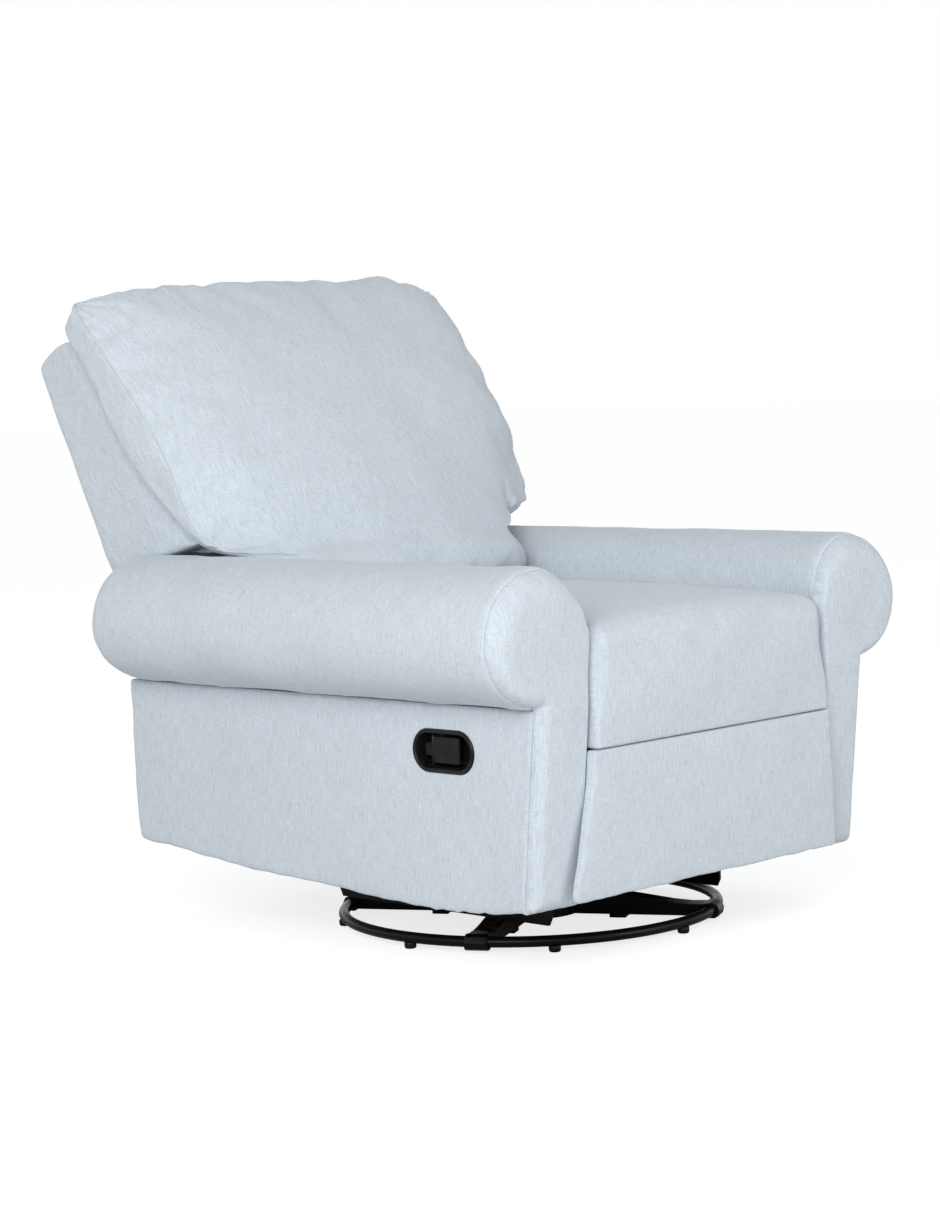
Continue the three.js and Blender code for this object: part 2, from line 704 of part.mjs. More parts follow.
/** Rear wall between the arms, with a ledge under the foot of the back. */
function rearPanel() {
  const reach = frameBoardX - fit;
  const wall = box(-reach, reach, panelBackY - panelThickness, panelBackY, hem[0][1],
    recline.z + rearPanelRise);
  const ledge = box(-reach, reach, panelBackY - panelThickness - ledgeDepth,
    panelBackY - panelThickness + 1,
    recline.z - ledgeDrop - ledgeThickness, recline.z - ledgeDrop);
  add('rear_panel', join(wall, ledge), linen);
}

// ---------------------------------------------------------------- lever
function lever() {
  const face = -bodyHalfWidth;
  const floorX = -(bodyHalfWidth - leverDepth);
  const throat = stadium(leverY, leverZ, leverLength - 2 * leverLip - 1, leverHeight - 2 * leverLip - 1);
  const hollow = stadium(leverY, leverZ, leverLength - 2 * leverLip - 2 * leverWall,
    leverHeight - 2 * leverLip - 2 * leverWall);
  const cup = join(
    plateX(throat, floorX, face, 10),
    plateX(stadium(leverY, leverZ, leverLength, leverHeight), face - fit, face - leverFlange, 10),
    plateX(throat, face - leverFlange + 0.5, face + 1, 10),
  );
  const pinReach = leverHeight / 2 - leverLip - 1.2;
  const socket = barZ(paddlePinRadius + runningClearance, -paddleX, paddleHingeY, leverZ - pinReach - fit,
    leverZ + pinReach + fit);
  add('lever_cup', cut(cup, plateX(hollow, floorX - leverWall, face - leverFlange - 2, 10), socket),
    blackPlastic);
  const leaf = [-paddleX - paddleThickness / 2, -paddleX + paddleThickness / 2];
  const wide = box(...leaf, leverY - 24, paddleHingeY - 4, leverZ - 20, leverZ + 20);
  const tab = box(...leaf, paddleHingeY - 5, paddleHingeY + 16, leverZ - 10, leverZ + 10);
  const pin = barZ(paddlePinRadius, -paddleX, paddleHingeY, leverZ - pinReach, leverZ + pinReach);
  add('release_paddle', join(wide, tab, pin), blackPlastic);
}

/** Sheathed cable from the back of the lever's cup, through the arm board, to the mechanism plate. */
function releaseCable() {
  const start = new THREE.Vector3(-(bodyHalfWidth - leverDepth) + fit, leverY, leverZ);
  const end = new THREE.Vector3(-plateOuterX - fit, cableEnd.y, cableEnd.z);
  const room = -(frameBoardX + frameBoardThickness) - start.x; // between the cup and the arm board
  const route = new THREE.CatmullRomCurve3([
    start, new THREE.Vector3(start.x + 0.13 * room, leverY, leverZ),
    new THREE.Vector3(start.x + 0.28 * room, leverY + 10, leverZ - 4),
    new THREE.Vector3(start.x + 0.35 * room, leverY + 70, leverZ - 22),
    new THREE.Vector3(end.x - 42, cableEnd.y - 24, cableEnd.z),
    new THREE.Vector3(end.x - 26, cableEnd.y - 2, cableEnd.z),
    new THREE.Vector3(end.x - 12, cableEnd.y, cableEnd.z), end,
  ]);
  const section = new THREE.Shape();
  section.absarc(0, 0, cableRadius, 0, Math.PI * 2, false);
  add('release_cable', new THREE.ExtrudeGeometry(section, { extrudePath: route, steps: 24,
    curveSegments: 2 }), blackPlastic);
}

// ---------------------------------------------------------------- footrest
const along = (from, angle, length) => ({
  y: from.y - length * Math.cos(radians(angle)),
  z: from.z + length * Math.sin(radians(angle)),
});
const knee = along(footPivot, lowerLinkAngle, footLinkLength);
const footEye = along(knee, upperLinkAngle, footLinkLength);

function footLinks() {
  for (const [side, s] of sides) {
    const lowerOuter = lowerLinkX + footLinkThickness;
    const lower = join(
      plateX(capsule(footPivot, knee, footEyeRadius), s * lowerLinkX, s * lowerOuter),
      barX(pivotPinRadius, s * (lowerOuter - 1), s * (plateOuterX - fit), footPivot.y, footPivot.z),
      barX(pivotPinRadius + 4, s * (lowerOuter - 1), s * (plateInnerX - fit), footPivot.y, footPivot.z),
      barX(pivotPinRadius - 1, s * (upperLinkX - 1.5), s * (lowerLinkX + 1), knee.y, knee.z),
      barX(pivotPinRadius + 2, s * (upperLinkX + footLinkThickness + fit), s * (lowerLinkX + 1), knee.y,
        knee.z),
    );
    add(`footrest_lower_link_${side}`, lower, zincSteel);
    const upperOuter = upperLinkX + footLinkThickness;
    const bracketOuter = ottomanBracketX + footLinkThickness;
    const upper = cut(join(
      plateX(capsule(knee, footEye, footEyeRadius), s * upperLinkX, s * upperOuter),
      barX(pivotPinRadius - 1, s * (ottomanBracketX - 1.5), s * (upperLinkX + 1), footEye.y, footEye.z),
      barX(pivotPinRadius + 2, s * (bracketOuter + fit), s * (upperLinkX + 1), footEye.y, footEye.z),
    ), barX(pivotPinRadius - 1 + runningClearance, s * (upperLinkX - 2), s * (upperOuter + 2), knee.y,
      knee.z));
    add(`footrest_upper_link_${side}`, upper, zincSteel);
  }
  const tube = along(footPivot, lowerLinkAngle, torqueTubeAt);
  const reach = lowerLinkX - fit;
  add('footrest_torque_tube', cut(
    barX(torqueTubeRadius, -reach, reach, tube.y, tube.z),
    barX(torqueTubeRadius - carriageTubeWall, -reach - 1, reach + 1, tube.y, tube.z),
  ), blackSteel);
}

function ottoman() {
  const boardBack = ottomanBackY + fit + ottomanBoardThickness;
  add('ottoman_board', box(-ottomanBoardHalfWidth, ottomanBoardHalfWidth, ottomanBackY + fit, boardBack,
    ottomanBottomZ + 7, ottomanTopZ - 8), timber);
  const halfOutline = [
    [ottomanTopHalfWidth + ottomanFlare, ottomanBottomZ + 6], [ottomanTopHalfWidth + ottomanFlare * 0.5,
      (ottomanBottomZ + ottomanFlareFromZ) / 2], [ottomanTopHalfWidth, ottomanFlareFromZ],
        [ottomanTopHalfWidth - 2, ottomanTopZ - 10],
    [ottomanTopHalfWidth - 12, ottomanTopZ],
  ];
  const outline = [[ottomanTopHalfWidth + ottomanFlare - 8, ottomanBottomZ], ...halfOutline];
  const full = [...outline, ...outline.map(([x, z]) => [-x, z]).reverse()];
  const middleZ = (ottomanBottomZ + ottomanTopZ) / 2 + 1;
  const rings = [[0, ottomanBackY], [0, ottomanFaceY + 6], [4, ottomanFaceY + 1], [12,
    ottomanFaceY]].map(([inset, y]) =>
    full.map(([x, z]) => new THREE.Vector3(x - Math.sign(x) * inset, y,
      z + inset * THREE.MathUtils.clamp((middleZ - z) / 60, -1, 1))));
  add('ottoman_pad', loft(rings), linen);
  for (const [side, s] of sides) {
    const outer = s * (ottomanBracketX + footLinkThickness);
    const arm = join(
      plateX(capsule(footEye, { y: boardBack + footEyeRadius, z: footEye.z }, footEyeRadius),
        s * ottomanBracketX, outer),
      plateX([[boardBack - 11, footEye.z - 70], [boardBack, footEye.z - 70], [boardBack + 26,
        footEye.z - 8],
        [boardBack + 26, footEye.z + footEyeRadius - 1], [boardBack - 11, footEye.z + footEyeRadius - 1]],
      s * ottomanBracketX, outer),
    );
    add(`ottoman_bracket_${side}`, cut(arm, barX(pivotPinRadius - 1 + runningClearance,
      s * (ottomanBracketX - 2),
      s * (ottomanBracketX + footLinkThickness + 2), footEye.y, footEye.z)), zincSteel);
  }
}

// ---------------------------------------------------------------- back
const rearRise = { y: backRearTop.y - backRearLow.y, z: backRearTop.z - backRearLow.z };
const rearLength = Math.hypot(rearRise.y, rearRise.z);
/** A point of the side view: s up along the back's rear face, n forward from it. */
const onRear = (s, n) => [
  backRearLow.y + (rearRise.y * s - rearRise.z * n) / rearLength,
  backRearLow.z + (rearRise.z * s + rearRise.y * n) / rearLength,
];
const pillowRise = { y: pillowRearTop.y - pillowRearLow.y, z: pillowRearTop.z - pillowRearLow.z };
const pillowLength = Math.hypot(pillowRise.y, pillowRise.z);
/** A point of the side view: s up along the pillow's rear face, n forward from it. */
const onPillow = (s, n) => [
  pillowRearLow.y + (pillowRise.y * s - pillowRise.z * n) / pillowLength,
  pillowRearLow.z + (pillowRise.z * s + pillowRise.y * n) / pillowLength,
];
function backCover() {
  const wing = onRear(wingStartS, 0);
  const low = onPillow(backFrontLowS, -fit);
  const high = onPillow(backFrontTopS, -fit);
  const lowInside = onPillow(backFrontLowS + backWall, -fit);
  const raise = ([y, z], by = backWall) => [y, z + by];
  const rearTop = [backRearTop.y, backRearTop.z];
  const top = [backTopY, backTopZ];
  const full = [backHalfWidth, -backHalfWidth];
  const slab = (from, half) => plateX(
    [onRear(from, 0), onRear(rearLength, 0), onRear(rearLength, backWall), onRear(from, backWall)], -half,
      half);
  const lid = plateX([rearTop, top, high, raise(high, -backWall), raise(top, -backWall),
    onRear(rearLength - 2 * backWall, 0)], ...full);
  const pieces = [slab(-backTail, backLowerHalfWidth), slab(wingStartS, backHalfWidth), lid];
  for (const [, s] of sides) {
    pieces.push(plateX([wing, ...wingBottom, low, high, top, rearTop], s * (backHalfWidth - backWall),
      s * backHalfWidth));
    const inside = [wing, ...wingBottom].toReversed().map((p) => raise(p));
    pieces.push(plateX([wing, ...wingBottom, low, lowInside, ...inside], s * backLowerHalfWidth,
      s * backHalfWidth));
  }
  add('back_cover', join(...pieces), linen);
}

/** T-shaped plywood board against the inside of the cover's rear wall. */
function backFrame() {
  const half = backHalfWidth - backWall - 20;
  const shoulder = wingStartS + 70;
  const topS = rearLength - 3 * backWall;
  const shape = shapeOf([
    [-backLowerHalfWidth, 6], [backLowerHalfWidth, 6], [backLowerHalfWidth, shoulder], [half, shoulder],
    [half, topS], [-half, topS], [-half, shoulder], [-backLowerHalfWidth, shoulder],
  ]);
  const board = extrudeZ(shape, 0, backBoardThickness);
  const lean = Math.atan2(rearRise.y, rearRise.z);
  const [y, z] = onRear(0, backWall + fit);
  board.rotateX(Math.PI / 2 - lean).translate(0, y, z);
  add('back_frame', board, timber);
}

/** Foam wedge that fills the back between the plywood frame and the loose pillow. */
function backFoam() {
  const front = backWall + backBoardThickness + 2 * fit;
  const low = onRear(wingStartS + 10, front);
  const high = onRear(rearLength - 3 * backWall, front);
  const wedge = [low, high, onPillow(backFrontTopS - 2 * backWall, -2 * fit),
    onPillow(backFrontLowS + backWall, -2 * fit)];
  add('back_foam', plateX(wedge, -backLowerHalfWidth + 2, backLowerHalfWidth - 2), foam);
}

/** Section of the pillow across X: flat behind, upright edges, half an ellipse in front; slope tips it. */
function pillowRing(s, halfWidth, depth, crown, slope = 0) {
  const points = [];
  const steps = 12;
  for (let i = 0; i <= steps; i += 1) {
    const turn = (Math.PI * i) / steps;
    points.push([halfWidth * Math.cos(turn), depth + crown * Math.sin(turn)]);
  }
  points.push([-halfWidth + 10, 0], [0, 0], [halfWidth - 10, 0]);
  return points.map(([x, n]) => new THREE.Vector3(x, ...onPillow(s + slope * n, n + fit)));
}

/** T-shaped pillow: it stands between the arms, and its ears lie level over them. */
function backPillow() {
  const deep = pillowEdgeDepth;
  const level = -pillowRise.y / pillowRise.z; // slope of a section that lies level
  const half = pillowHalfWidth;
  const earHalf = half - pillowEarInset;
  const rings = [
    pillowRing(pillowBottomS, pillowLowerHalfWidth - 16, deep * 0.6, pillowCrown * 0.4, level),
    pillowRing(pillowBottomS + 14, pillowLowerHalfWidth - 3, deep * 0.8, pillowCrown * 0.7, level),
    pillowRing(earBottomS - 1, pillowLowerHalfWidth, deep * 0.8, pillowCrown, level),
    pillowRing(earBottomS, earHalf - 14, deep * 0.6, pillowCrown * 1.1, level),
    pillowRing(earBottomS + 16, earHalf - 2, deep * 0.7, pillowCrown * 1.12, level * 0.9),
    pillowRing(90, half - 19, deep * 0.9, pillowCrown * 1.1, level * 0.5),
    pillowRing(180, half - 4, deep, pillowCrown, level * 0.1),
    pillowRing(290, half + 1, deep, pillowCrown * 0.95),
    pillowRing(pillowTopS - 45, half + 2, deep, pillowCrown * 0.85, 0.2),
    pillowRing(pillowTopS - 10, half, deep, pillowCrown * 0.65, 0.3),
    pillowRing(pillowTopS + 6, half - 12, deep * 0.95, pillowCrown * 0.4, 0.35),
  ];
  add('back_pillow', loft(rings), linen);
}

/** Steel plates that hang the back on the mechanism's rear pivots. */
function backBrackets() {
  const x0 = backLowerHalfWidth + fit;
  const outline = [
    [recline.y - 16, recline.z - 6], [recline.y, recline.z - 17], [recline.y + 16, recline.z - 6],
    onRear(18, 4), onRear(190, 4), onRear(190, backWall + backBoardThickness),
    onRear(60, backWall + backBoardThickness), [recline.y - 16, recline.z + 8],
  ];
  for (const [side, s] of sides) {
    const plate = plateX(outline, s * x0, s * (x0 + footLinkThickness));
    const outer = x0 + footLinkThickness;
    const pin = barX(pivotPinRadius, s * (outer - 1), s * (plateOuterX - fit), recline.y, recline.z);
    const collar = barX(pivotPinRadius + 4, s * (outer - 1), s * (plateInnerX - fit), recline.y, recline.z);
    add(`back_bracket_${side}`, join(plate, pin, collar), zincSteel);
  }
}

baseRing();
floorGlides();
baseCross();
bearing();
turningFrame();
glideBrackets();
swingLinks();
carriageRails();
carriageTubes();
mechanismPlates();
armFrames();
sidePanels();
armRolls();
armFronts();
seat();
seatSprings();
rearPanel();
lever();
releaseCable();
footLinks();
ottoman();
backCover();
backFrame();
backFoam();
backPillow();
backBrackets();

// The origin ends on the floor, at the centre of the chair's footprint.
const extent = new THREE.Box3().setFromObject(chair);
chair.position.set(0, -(extent.min.y + extent.max.y) / 2, 0);

export default chair;
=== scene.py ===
"""Looks for a swivel glider recliner: linen-covered cushions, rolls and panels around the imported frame."""

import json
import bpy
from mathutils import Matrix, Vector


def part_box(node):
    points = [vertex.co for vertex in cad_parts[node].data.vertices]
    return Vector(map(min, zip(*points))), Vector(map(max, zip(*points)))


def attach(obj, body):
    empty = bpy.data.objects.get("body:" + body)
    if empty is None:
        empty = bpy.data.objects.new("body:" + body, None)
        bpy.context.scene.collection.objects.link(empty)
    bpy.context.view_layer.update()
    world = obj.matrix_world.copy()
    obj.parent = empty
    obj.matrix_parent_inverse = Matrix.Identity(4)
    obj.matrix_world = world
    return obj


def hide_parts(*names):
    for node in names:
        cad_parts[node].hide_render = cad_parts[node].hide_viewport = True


bl_info = {
    "name": "Glider recliner looks",
    "version": (1, 0, 0),
    "blender": (4, 5, 0),
    "location": "View3D > Sidebar > Glider recliner",
    "description": "Builds the upholstery, the lever and the floor ring around a packed glider recliner",
    "category": "Object",
}

import bpy
import numpy as np
from bpy.props import FloatProperty, FloatVectorProperty, IntProperty, PointerProperty
from mathutils import Matrix

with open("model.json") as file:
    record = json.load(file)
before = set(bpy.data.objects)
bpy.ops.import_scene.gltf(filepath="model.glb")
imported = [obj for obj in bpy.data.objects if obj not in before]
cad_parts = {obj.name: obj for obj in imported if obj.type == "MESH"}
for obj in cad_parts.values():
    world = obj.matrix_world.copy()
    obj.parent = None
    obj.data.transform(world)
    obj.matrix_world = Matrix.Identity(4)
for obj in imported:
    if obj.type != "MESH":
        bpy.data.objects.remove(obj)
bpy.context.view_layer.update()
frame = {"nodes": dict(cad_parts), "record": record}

SIDES = (("left", 1.0), ("right", -1.0))  # each side's name and the sign of its X; the handle is on the right


def span(node):
    """Lowest and highest corner of a CAD node as numpy arrays."""
    low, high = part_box(node)
    return np.array(low), np.array(high)


RING_LOW, RING_HIGH = span("base_ring")
AXIS_Y = float(RING_LOW[1] + RING_HIGH[1]) / 2  # the swivel axis; shapes below are laid out from it


def at_axis(y):
    """A distance behind the swivel axis as a Y of the frame."""
    return y + AXIS_Y


# ------------------------------------------------------------------ settings
def metres(name, description, default, least=0.0):
    """A setting that is a length."""
    return FloatProperty(name=name, description=description, default=default, min=least, unit="LENGTH")


def colour(name, description, default):
    """A setting that is a finish's colour."""
    return FloatVectorProperty(
        name=name, description=description, default=default, subtype="COLOR", size=3, min=0, max=1
    )


class ReclinerSizes(bpy.types.PropertyGroup):
    """Sizes a user would change on the upholstery."""

    pucker: metres("Pucker depth", "Depth of the gathers along the seams", 0.0026)
    seam: metres("Seam depth", "How far the pillow's sewn seams pull in", 0.0022)
    welt: metres("Edge radius", "Radius of the pillow's soft edges", 0.011, least=0.002)
    hem_wave: metres("Hem wave", "Unevenness of the side panels' lower hem", 0.0018)
    plump: FloatProperty(
        name="Cushion pressure", description="Filling pressure of the cushions", default=4.0, min=0.0
    )
    steps: IntProperty(
        name="Cloth steps", description="Frames that the cloth takes to settle", default=18, min=2
    )


class ReclinerColours(bpy.types.PropertyGroup):
    """Colours of the finishes."""

    linen: colour("Linen", "Ground colour of the cloth", (0.66, 0.725, 0.785))
    slub: colour("Slub", "Colour of the thicker threads", (0.553, 0.607, 0.656))
    fleck: colour("Fleck", "Colour of the natural flecks", (0.37, 0.36, 0.34))
    enamel: colour("Enamel", "Black paint of the floor ring and the steel frame", (0.003, 0.003, 0.004))
    zinc: colour("Zinc", "Zinc plate of the linkage", (0.46, 0.47, 0.49))
    plywood: colour("Plywood", "Bare boards of the frame", (0.46, 0.34, 0.22))
    foam: colour("Foam", "Upholstery foam", (0.78, 0.70, 0.52))


# ------------------------------------------------------------------ numbers
def spline(x, knots, values):
    """Cubic Hermite curve through the values; a slope is the mean of those beside it, and its ends hold."""
    knots, values = np.asarray(knots, float), np.asarray(values, float)
    step = np.diff(knots)
    rise = np.diff(values) / step
    slope = np.concatenate([[rise[0]], (rise[1:] + rise[:-1]) / 2, [rise[-1]]])
    x = np.clip(x, knots[0], knots[-1])
    i = np.clip(np.searchsorted(knots, x) - 1, 0, len(step) - 1)
    t = (x - knots[i]) / step[i]
    return (
        values[i] * (2 * t**3 - 3 * t**2 + 1)
        + slope[i] * step[i] * (t**3 - 2 * t**2 + t)
        + values[i + 1] * (3 * t**2 - 2 * t**3)
        + slope[i + 1] * step[i] * (t**3 - t**2)
    )


def fade(x, start, end):
    """0 before start, 1 after end, and 3t^2 - 2t^3 between them; start may lie above end."""
    t = np.clip((x - start) / (end - start), 0, 1)
    return t * t * (3 - 2 * t)


def hump(x, place, width):
    """1 at a place, falling off to both sides as exp(-(distance / width)^2)."""
    return np.exp(-(((x - place) / width) ** 2))


def ripple(a, b, wavelength, seed, waves=9):
    """Soft noise, mostly from -1 to 1: sines along seeded directions, each about one wavelength long.

    Their sum is divided by the square root of 2.2 times their number.
    """
    draw = np.random.RandomState(seed)
    angle = draw.uniform(0, 2 * np.pi, waves)
    size = 2 * np.pi / (wavelength * draw.uniform(0.7, 1.5, waves))
    phase = draw.uniform(0, 2 * np.pi, waves)
    a, b = np.asarray(a)[..., None], np.asarray(b)[..., None]
    return np.sin(size * (a * np.cos(angle) + b * np.sin(angle)) + phase).sum(-1) / np.sqrt(waves * 2.2)


def gathers(along, away, spacing, reach, seed):
    """Puckers at a right angle to a seam: uneven waves along it times exp(-away / an uneven length)."""
    wave = ripple(along, 0 * along, spacing, seed, 7)
    wave = wave + 0.6 * ripple(along, away * 0.35, spacing * 0.45, seed + 1, 7)
    length = reach * (0.65 + 0.35 * ripple(along, 0 * along, spacing * 1.7, seed + 2, 5))
    return wave * np.exp(-np.clip(away, 0, None) / np.clip(length, reach * 0.25, None))


# ------------------------------------------------------------------ meshes
def lines(low, high, radius, middle, edge=3):
    """Lattice lines from low to high: even in the middle, and at radius times tan(angle) in each rounding."""
    turn = radius * (1 - np.tan(np.linspace(0, np.pi / 4, edge + 1))[1:])
    inner = np.linspace(low + radius, high - radius, middle + 1)
    return np.concatenate([(low + turn)[::-1], inner, high - turn])


def cells(grid):
    """The four corner values of each cell of a grid, from its first corner on and round by the next row."""
    corners = [grid[:-1, :-1], grid[1:, :-1], grid[1:, 1:], grid[:-1, 1:]]
    return np.stack(corners, 2).reshape(-1, 4, *grid.shape[2:])


COLUMN_FIRST = [0, 3, 2, 1]  # the same cell corners, but round by the next column


def lattice(us, vs, ws):
    """Surface of a box lattice: the u, v and w of each surface point, the quads, and the side of each quad.

    Sides are 0 and 1 for the last and first w, 2 and 3 for u, and 4 and 5 for v.
    """
    shell = np.zeros((len(us), len(vs), len(ws)), bool)
    shell[[0, -1]] = True
    shell[:, [0, -1]] = True
    shell[:, :, [0, -1]] = True
    ids = np.full(shell.shape, -1)
    ids[shell] = np.arange(shell.sum())
    i, j, k = np.nonzero(shell)
    sheets = (ids[:, :, -1], ids[:, ::-1, 0], ids[-1], ids[0, ::-1], ids[::-1, -1], ids[:, 0])
    quads = [cells(sheet) for sheet in sheets]
    side = [np.full(len(rows), tag) for tag, rows in enumerate(quads)]
    return us[i], vs[j], ws[k], np.concatenate(quads), np.concatenate(side)


def rounded(u, v, w, box, radius):
    """Rounds a box: each point goes to the nearest of the box less the radius, then out by the radius."""
    point = np.stack([u, v, w], -1)
    low, high = np.array(box, float).T
    core = np.clip(point, low + radius, high - radius)
    out = point - core
    length = np.linalg.norm(out, axis=-1, keepdims=True)
    return core + out * np.divide(radius, length, out=np.zeros_like(length), where=length > 1e-9)


def outward(points, quads, *others):
    """The quads, and rows that go with their corners, turned so that the solid's volume is positive."""
    a, b, c, d = (points[quads[:, i]] for i in range(4))
    volume = (np.einsum("ij,ij->i", a, np.cross(b, c)) + np.einsum("ij,ij->i", a, np.cross(c, d))).sum()
    step = 1 if volume > 0 else -1
    return [rows[:, ::step] for rows in (quads, *others)]


def loft(rings):
    """Skin over rings of points that each close on themselves, with a fan of triangles at both ends."""
    rows, count = rings.shape[:2]
    grid = np.pad(np.arange(rows * count).reshape(rows, count), ((0, 0), (0, 1)), mode="wrap")
    centres = np.stack([rings[0].mean(0), rings[-1].mean(0)])
    first, last = rows * count, rows * count + 1
    start = np.stack([grid[0, 1:], grid[0, :-1], np.full(count, first)], -1)
    stop = np.stack([grid[-1, :-1], grid[-1, 1:], np.full(count, last)], -1)
    points = np.concatenate([rings.reshape(-1, 3), centres])
    return points, cells(grid)[:, COLUMN_FIRST], np.concatenate([start, stop])


def turned_rings(x, y, radii, heights, count):
    """Rings of a turned profile: a circle of each radius at its height about an upright axis."""
    turn = np.linspace(0, 2 * np.pi, count, endpoint=False)
    rings = [(x + r * np.cos(turn), y + r * np.sin(turn), np.full(count, h)) for r, h in zip(radii, heights)]
    return np.stack([np.column_stack(ring) for ring in rings])


def normals(points, quads):
    """Unit normal of each point: the sum of its quads' diagonal cross products."""
    across = np.cross(points[quads[:, 2]] - points[quads[:, 0]], points[quads[:, 3]] - points[quads[:, 1]])
    total = np.zeros_like(points)
    for corner in range(4):
        np.add.at(total, quads[:, corner], across)
    return total / np.maximum(np.linalg.norm(total, axis=1, keepdims=True), 1e-12)


def make_mesh(name, points, quads, triangles=None, weave=None):
    """Object from points and faces; weave holds the cloth's coordinates, in metres, of each face corner."""
    faces = quads.tolist() + ([] if triangles is None else triangles.tolist())
    mesh = bpy.data.meshes.new(name)
    mesh.from_pydata(points.tolist(), [], faces)
    mesh.polygons.foreach_set("use_smooth", np.ones(len(faces), bool))
    if weave is not None:
        layer = mesh.uv_layers.new(name="weave")
        layer.data.foreach_set("uv", np.asarray(weave, np.float32).ravel())
    mesh.validate()
    mesh.update()
    piece = bpy.data.objects.new(name, mesh)
    bpy.context.scene.collection.objects.link(piece)
    return piece


def make_loft(name, rings):
    """Object from a skin over rings, with its faces outwards."""
    points, quads, ends = loft(rings)
    return make_mesh(name, points, *outward(points, quads, ends))


def block_weave(u, v, w, quads, side):
    """Cloth coordinates of a block's six sides: two of its own three directions, in metres, on each."""
    pairs = ((u, v), (u, v), (w, v), (w, v), (u, w), (u, w))
    return np.stack([np.stack(pair, -1) for pair in pairs])[side[:, None], quads]


def make_cloth(name, points, quads, weave):
    """Object from a closed skin and its cloth coordinates, with its faces outwards."""
    quads, weave = outward(points, quads, weave)
    return make_mesh(name, points, quads, weave=weave)


def make_block(name, box, radius, counts, warp):
    """A rounded block over a box, put into place by a warp of its X, Y and Z.

    Returns the object and the u, v and w of its lattice.
    """
    u, v, w, quads, side = lattice(*(lines(*ends, radius, count) for ends, count in zip(box, counts)))
    points = warp(*rounded(u, v, w, box, radius).T)
    return make_cloth(name, points, quads, block_weave(u, v, w, quads, side)), u, v, w


def seam_mask(u, v, w):
    """1 at the points on at least two ends of the lattice, which are its edges, and 0 elsewhere."""
    ends = sum(((x == x.min()) | (x == x.max())).astype(int) for x in (u, v, w))
    return (ends >= 2).astype(float)


def dress(piece, body, *nodes, slot="linen", fill=None, levels=1):
    """Gives a piece its slot's finish and its subdivision, and ties it to the frame."""
    piece.data.materials.append(finish(slot))
    if levels:
        soft = piece.modifiers.new("smooth", "SUBSURF")
        soft.levels = soft.render_levels = levels
    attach(piece, body)
    if nodes:
        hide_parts(*nodes)
    return piece


def positions(piece):
    """Vertex positions of a mesh as an array."""
    points = np.zeros(len(piece.data.vertices) * 3, np.float32)
    piece.data.vertices.foreach_get("co", points)
    return points.reshape(-1, 3).astype(float)


def put(piece, points):
    """Writes vertex positions back into a mesh."""
    piece.data.vertices.foreach_set("co", np.asarray(points, np.float32).ravel())
    piece.data.update()


def quads_of(piece):
    """The mesh's faces as rows of four corners; a triangle repeats its last corner."""
    faces = [list(face.vertices) for face in piece.data.polygons]
    return np.array([face + [face[-1]] * (4 - len(face)) for face in faces])


def surface(piece):
    """Vertex positions of a mesh, and the unit normal at each."""
    points = positions(piece)
    return points, normals(points, quads_of(piece))


def settle(piece, pressure, steps, folds, held, tight):
    """Fills a closed cloth by pressure: held points stay, tight ones shrink as sewn seams do.

    A share of the folds that form is kept, and a tenth of the broad swelling under them.
    """
    scene = bpy.context.scene
    start = positions(piece)
    for name, mask in (("held", held), ("sewn", tight)):
        group = piece.vertex_groups.new(name=name)
        for weight in np.unique(mask[mask > 0]):
            group.add(np.flatnonzero(mask == weight).tolist(), float(weight), "REPLACE")
    cloth = piece.modifiers.new("cloth", "CLOTH")
    rule = cloth.settings
    rule.quality = 6
    rule.mass = 0.25
    rule.tension_stiffness = rule.compression_stiffness = 22
    rule.shear_stiffness = 8
    rule.bending_stiffness = 0.9
    rule.tension_damping = rule.compression_damping = 8
    rule.air_damping = 3
    rule.use_pressure = True
    rule.uniform_pressure_force = pressure
    rule.vertex_group_mass = "held"
    rule.vertex_group_shrink = "sewn"
    rule.shrink_min, rule.shrink_max = -0.025, 0.05
    rule.effector_weights.gravity = 0
    cloth.collision_settings.use_collision = False
    cloth.collision_settings.use_self_collision = False
    cloth.point_cache.frame_start, cloth.point_cache.frame_end = 1, steps
    for number in range(1, steps + 1):
        scene.frame_set(number)
    done = piece.evaluated_get(bpy.context.evaluated_depsgraph_get())
    move = positions(done) - start
    piece.modifiers.remove(cloth)
    piece.vertex_groups.clear()
    scene.frame_set(1)
    broad = averaged(move, quads_of(piece), 14)
    put(piece, start + folds * (move - broad) + 0.1 * broad)


def averaged(values, quads, rounds):
    """Each point's row of values averaged with its neighbours' along the quads' sides, over and over."""
    near = np.concatenate([quads[:, [a, b]] for a, b in ((0, 1), (1, 2), (2, 3), (3, 0))])
    near = np.concatenate([near, near[:, ::-1]])
    count = np.bincount(near[:, 0], minlength=len(values))
    for _ in range(rounds):
        total = [np.bincount(near[:, 0], values[near[:, 1], axis], len(values)) for axis in range(3)]
        values = (values + np.stack(total, -1) / count[:, None]) / 2
    return values


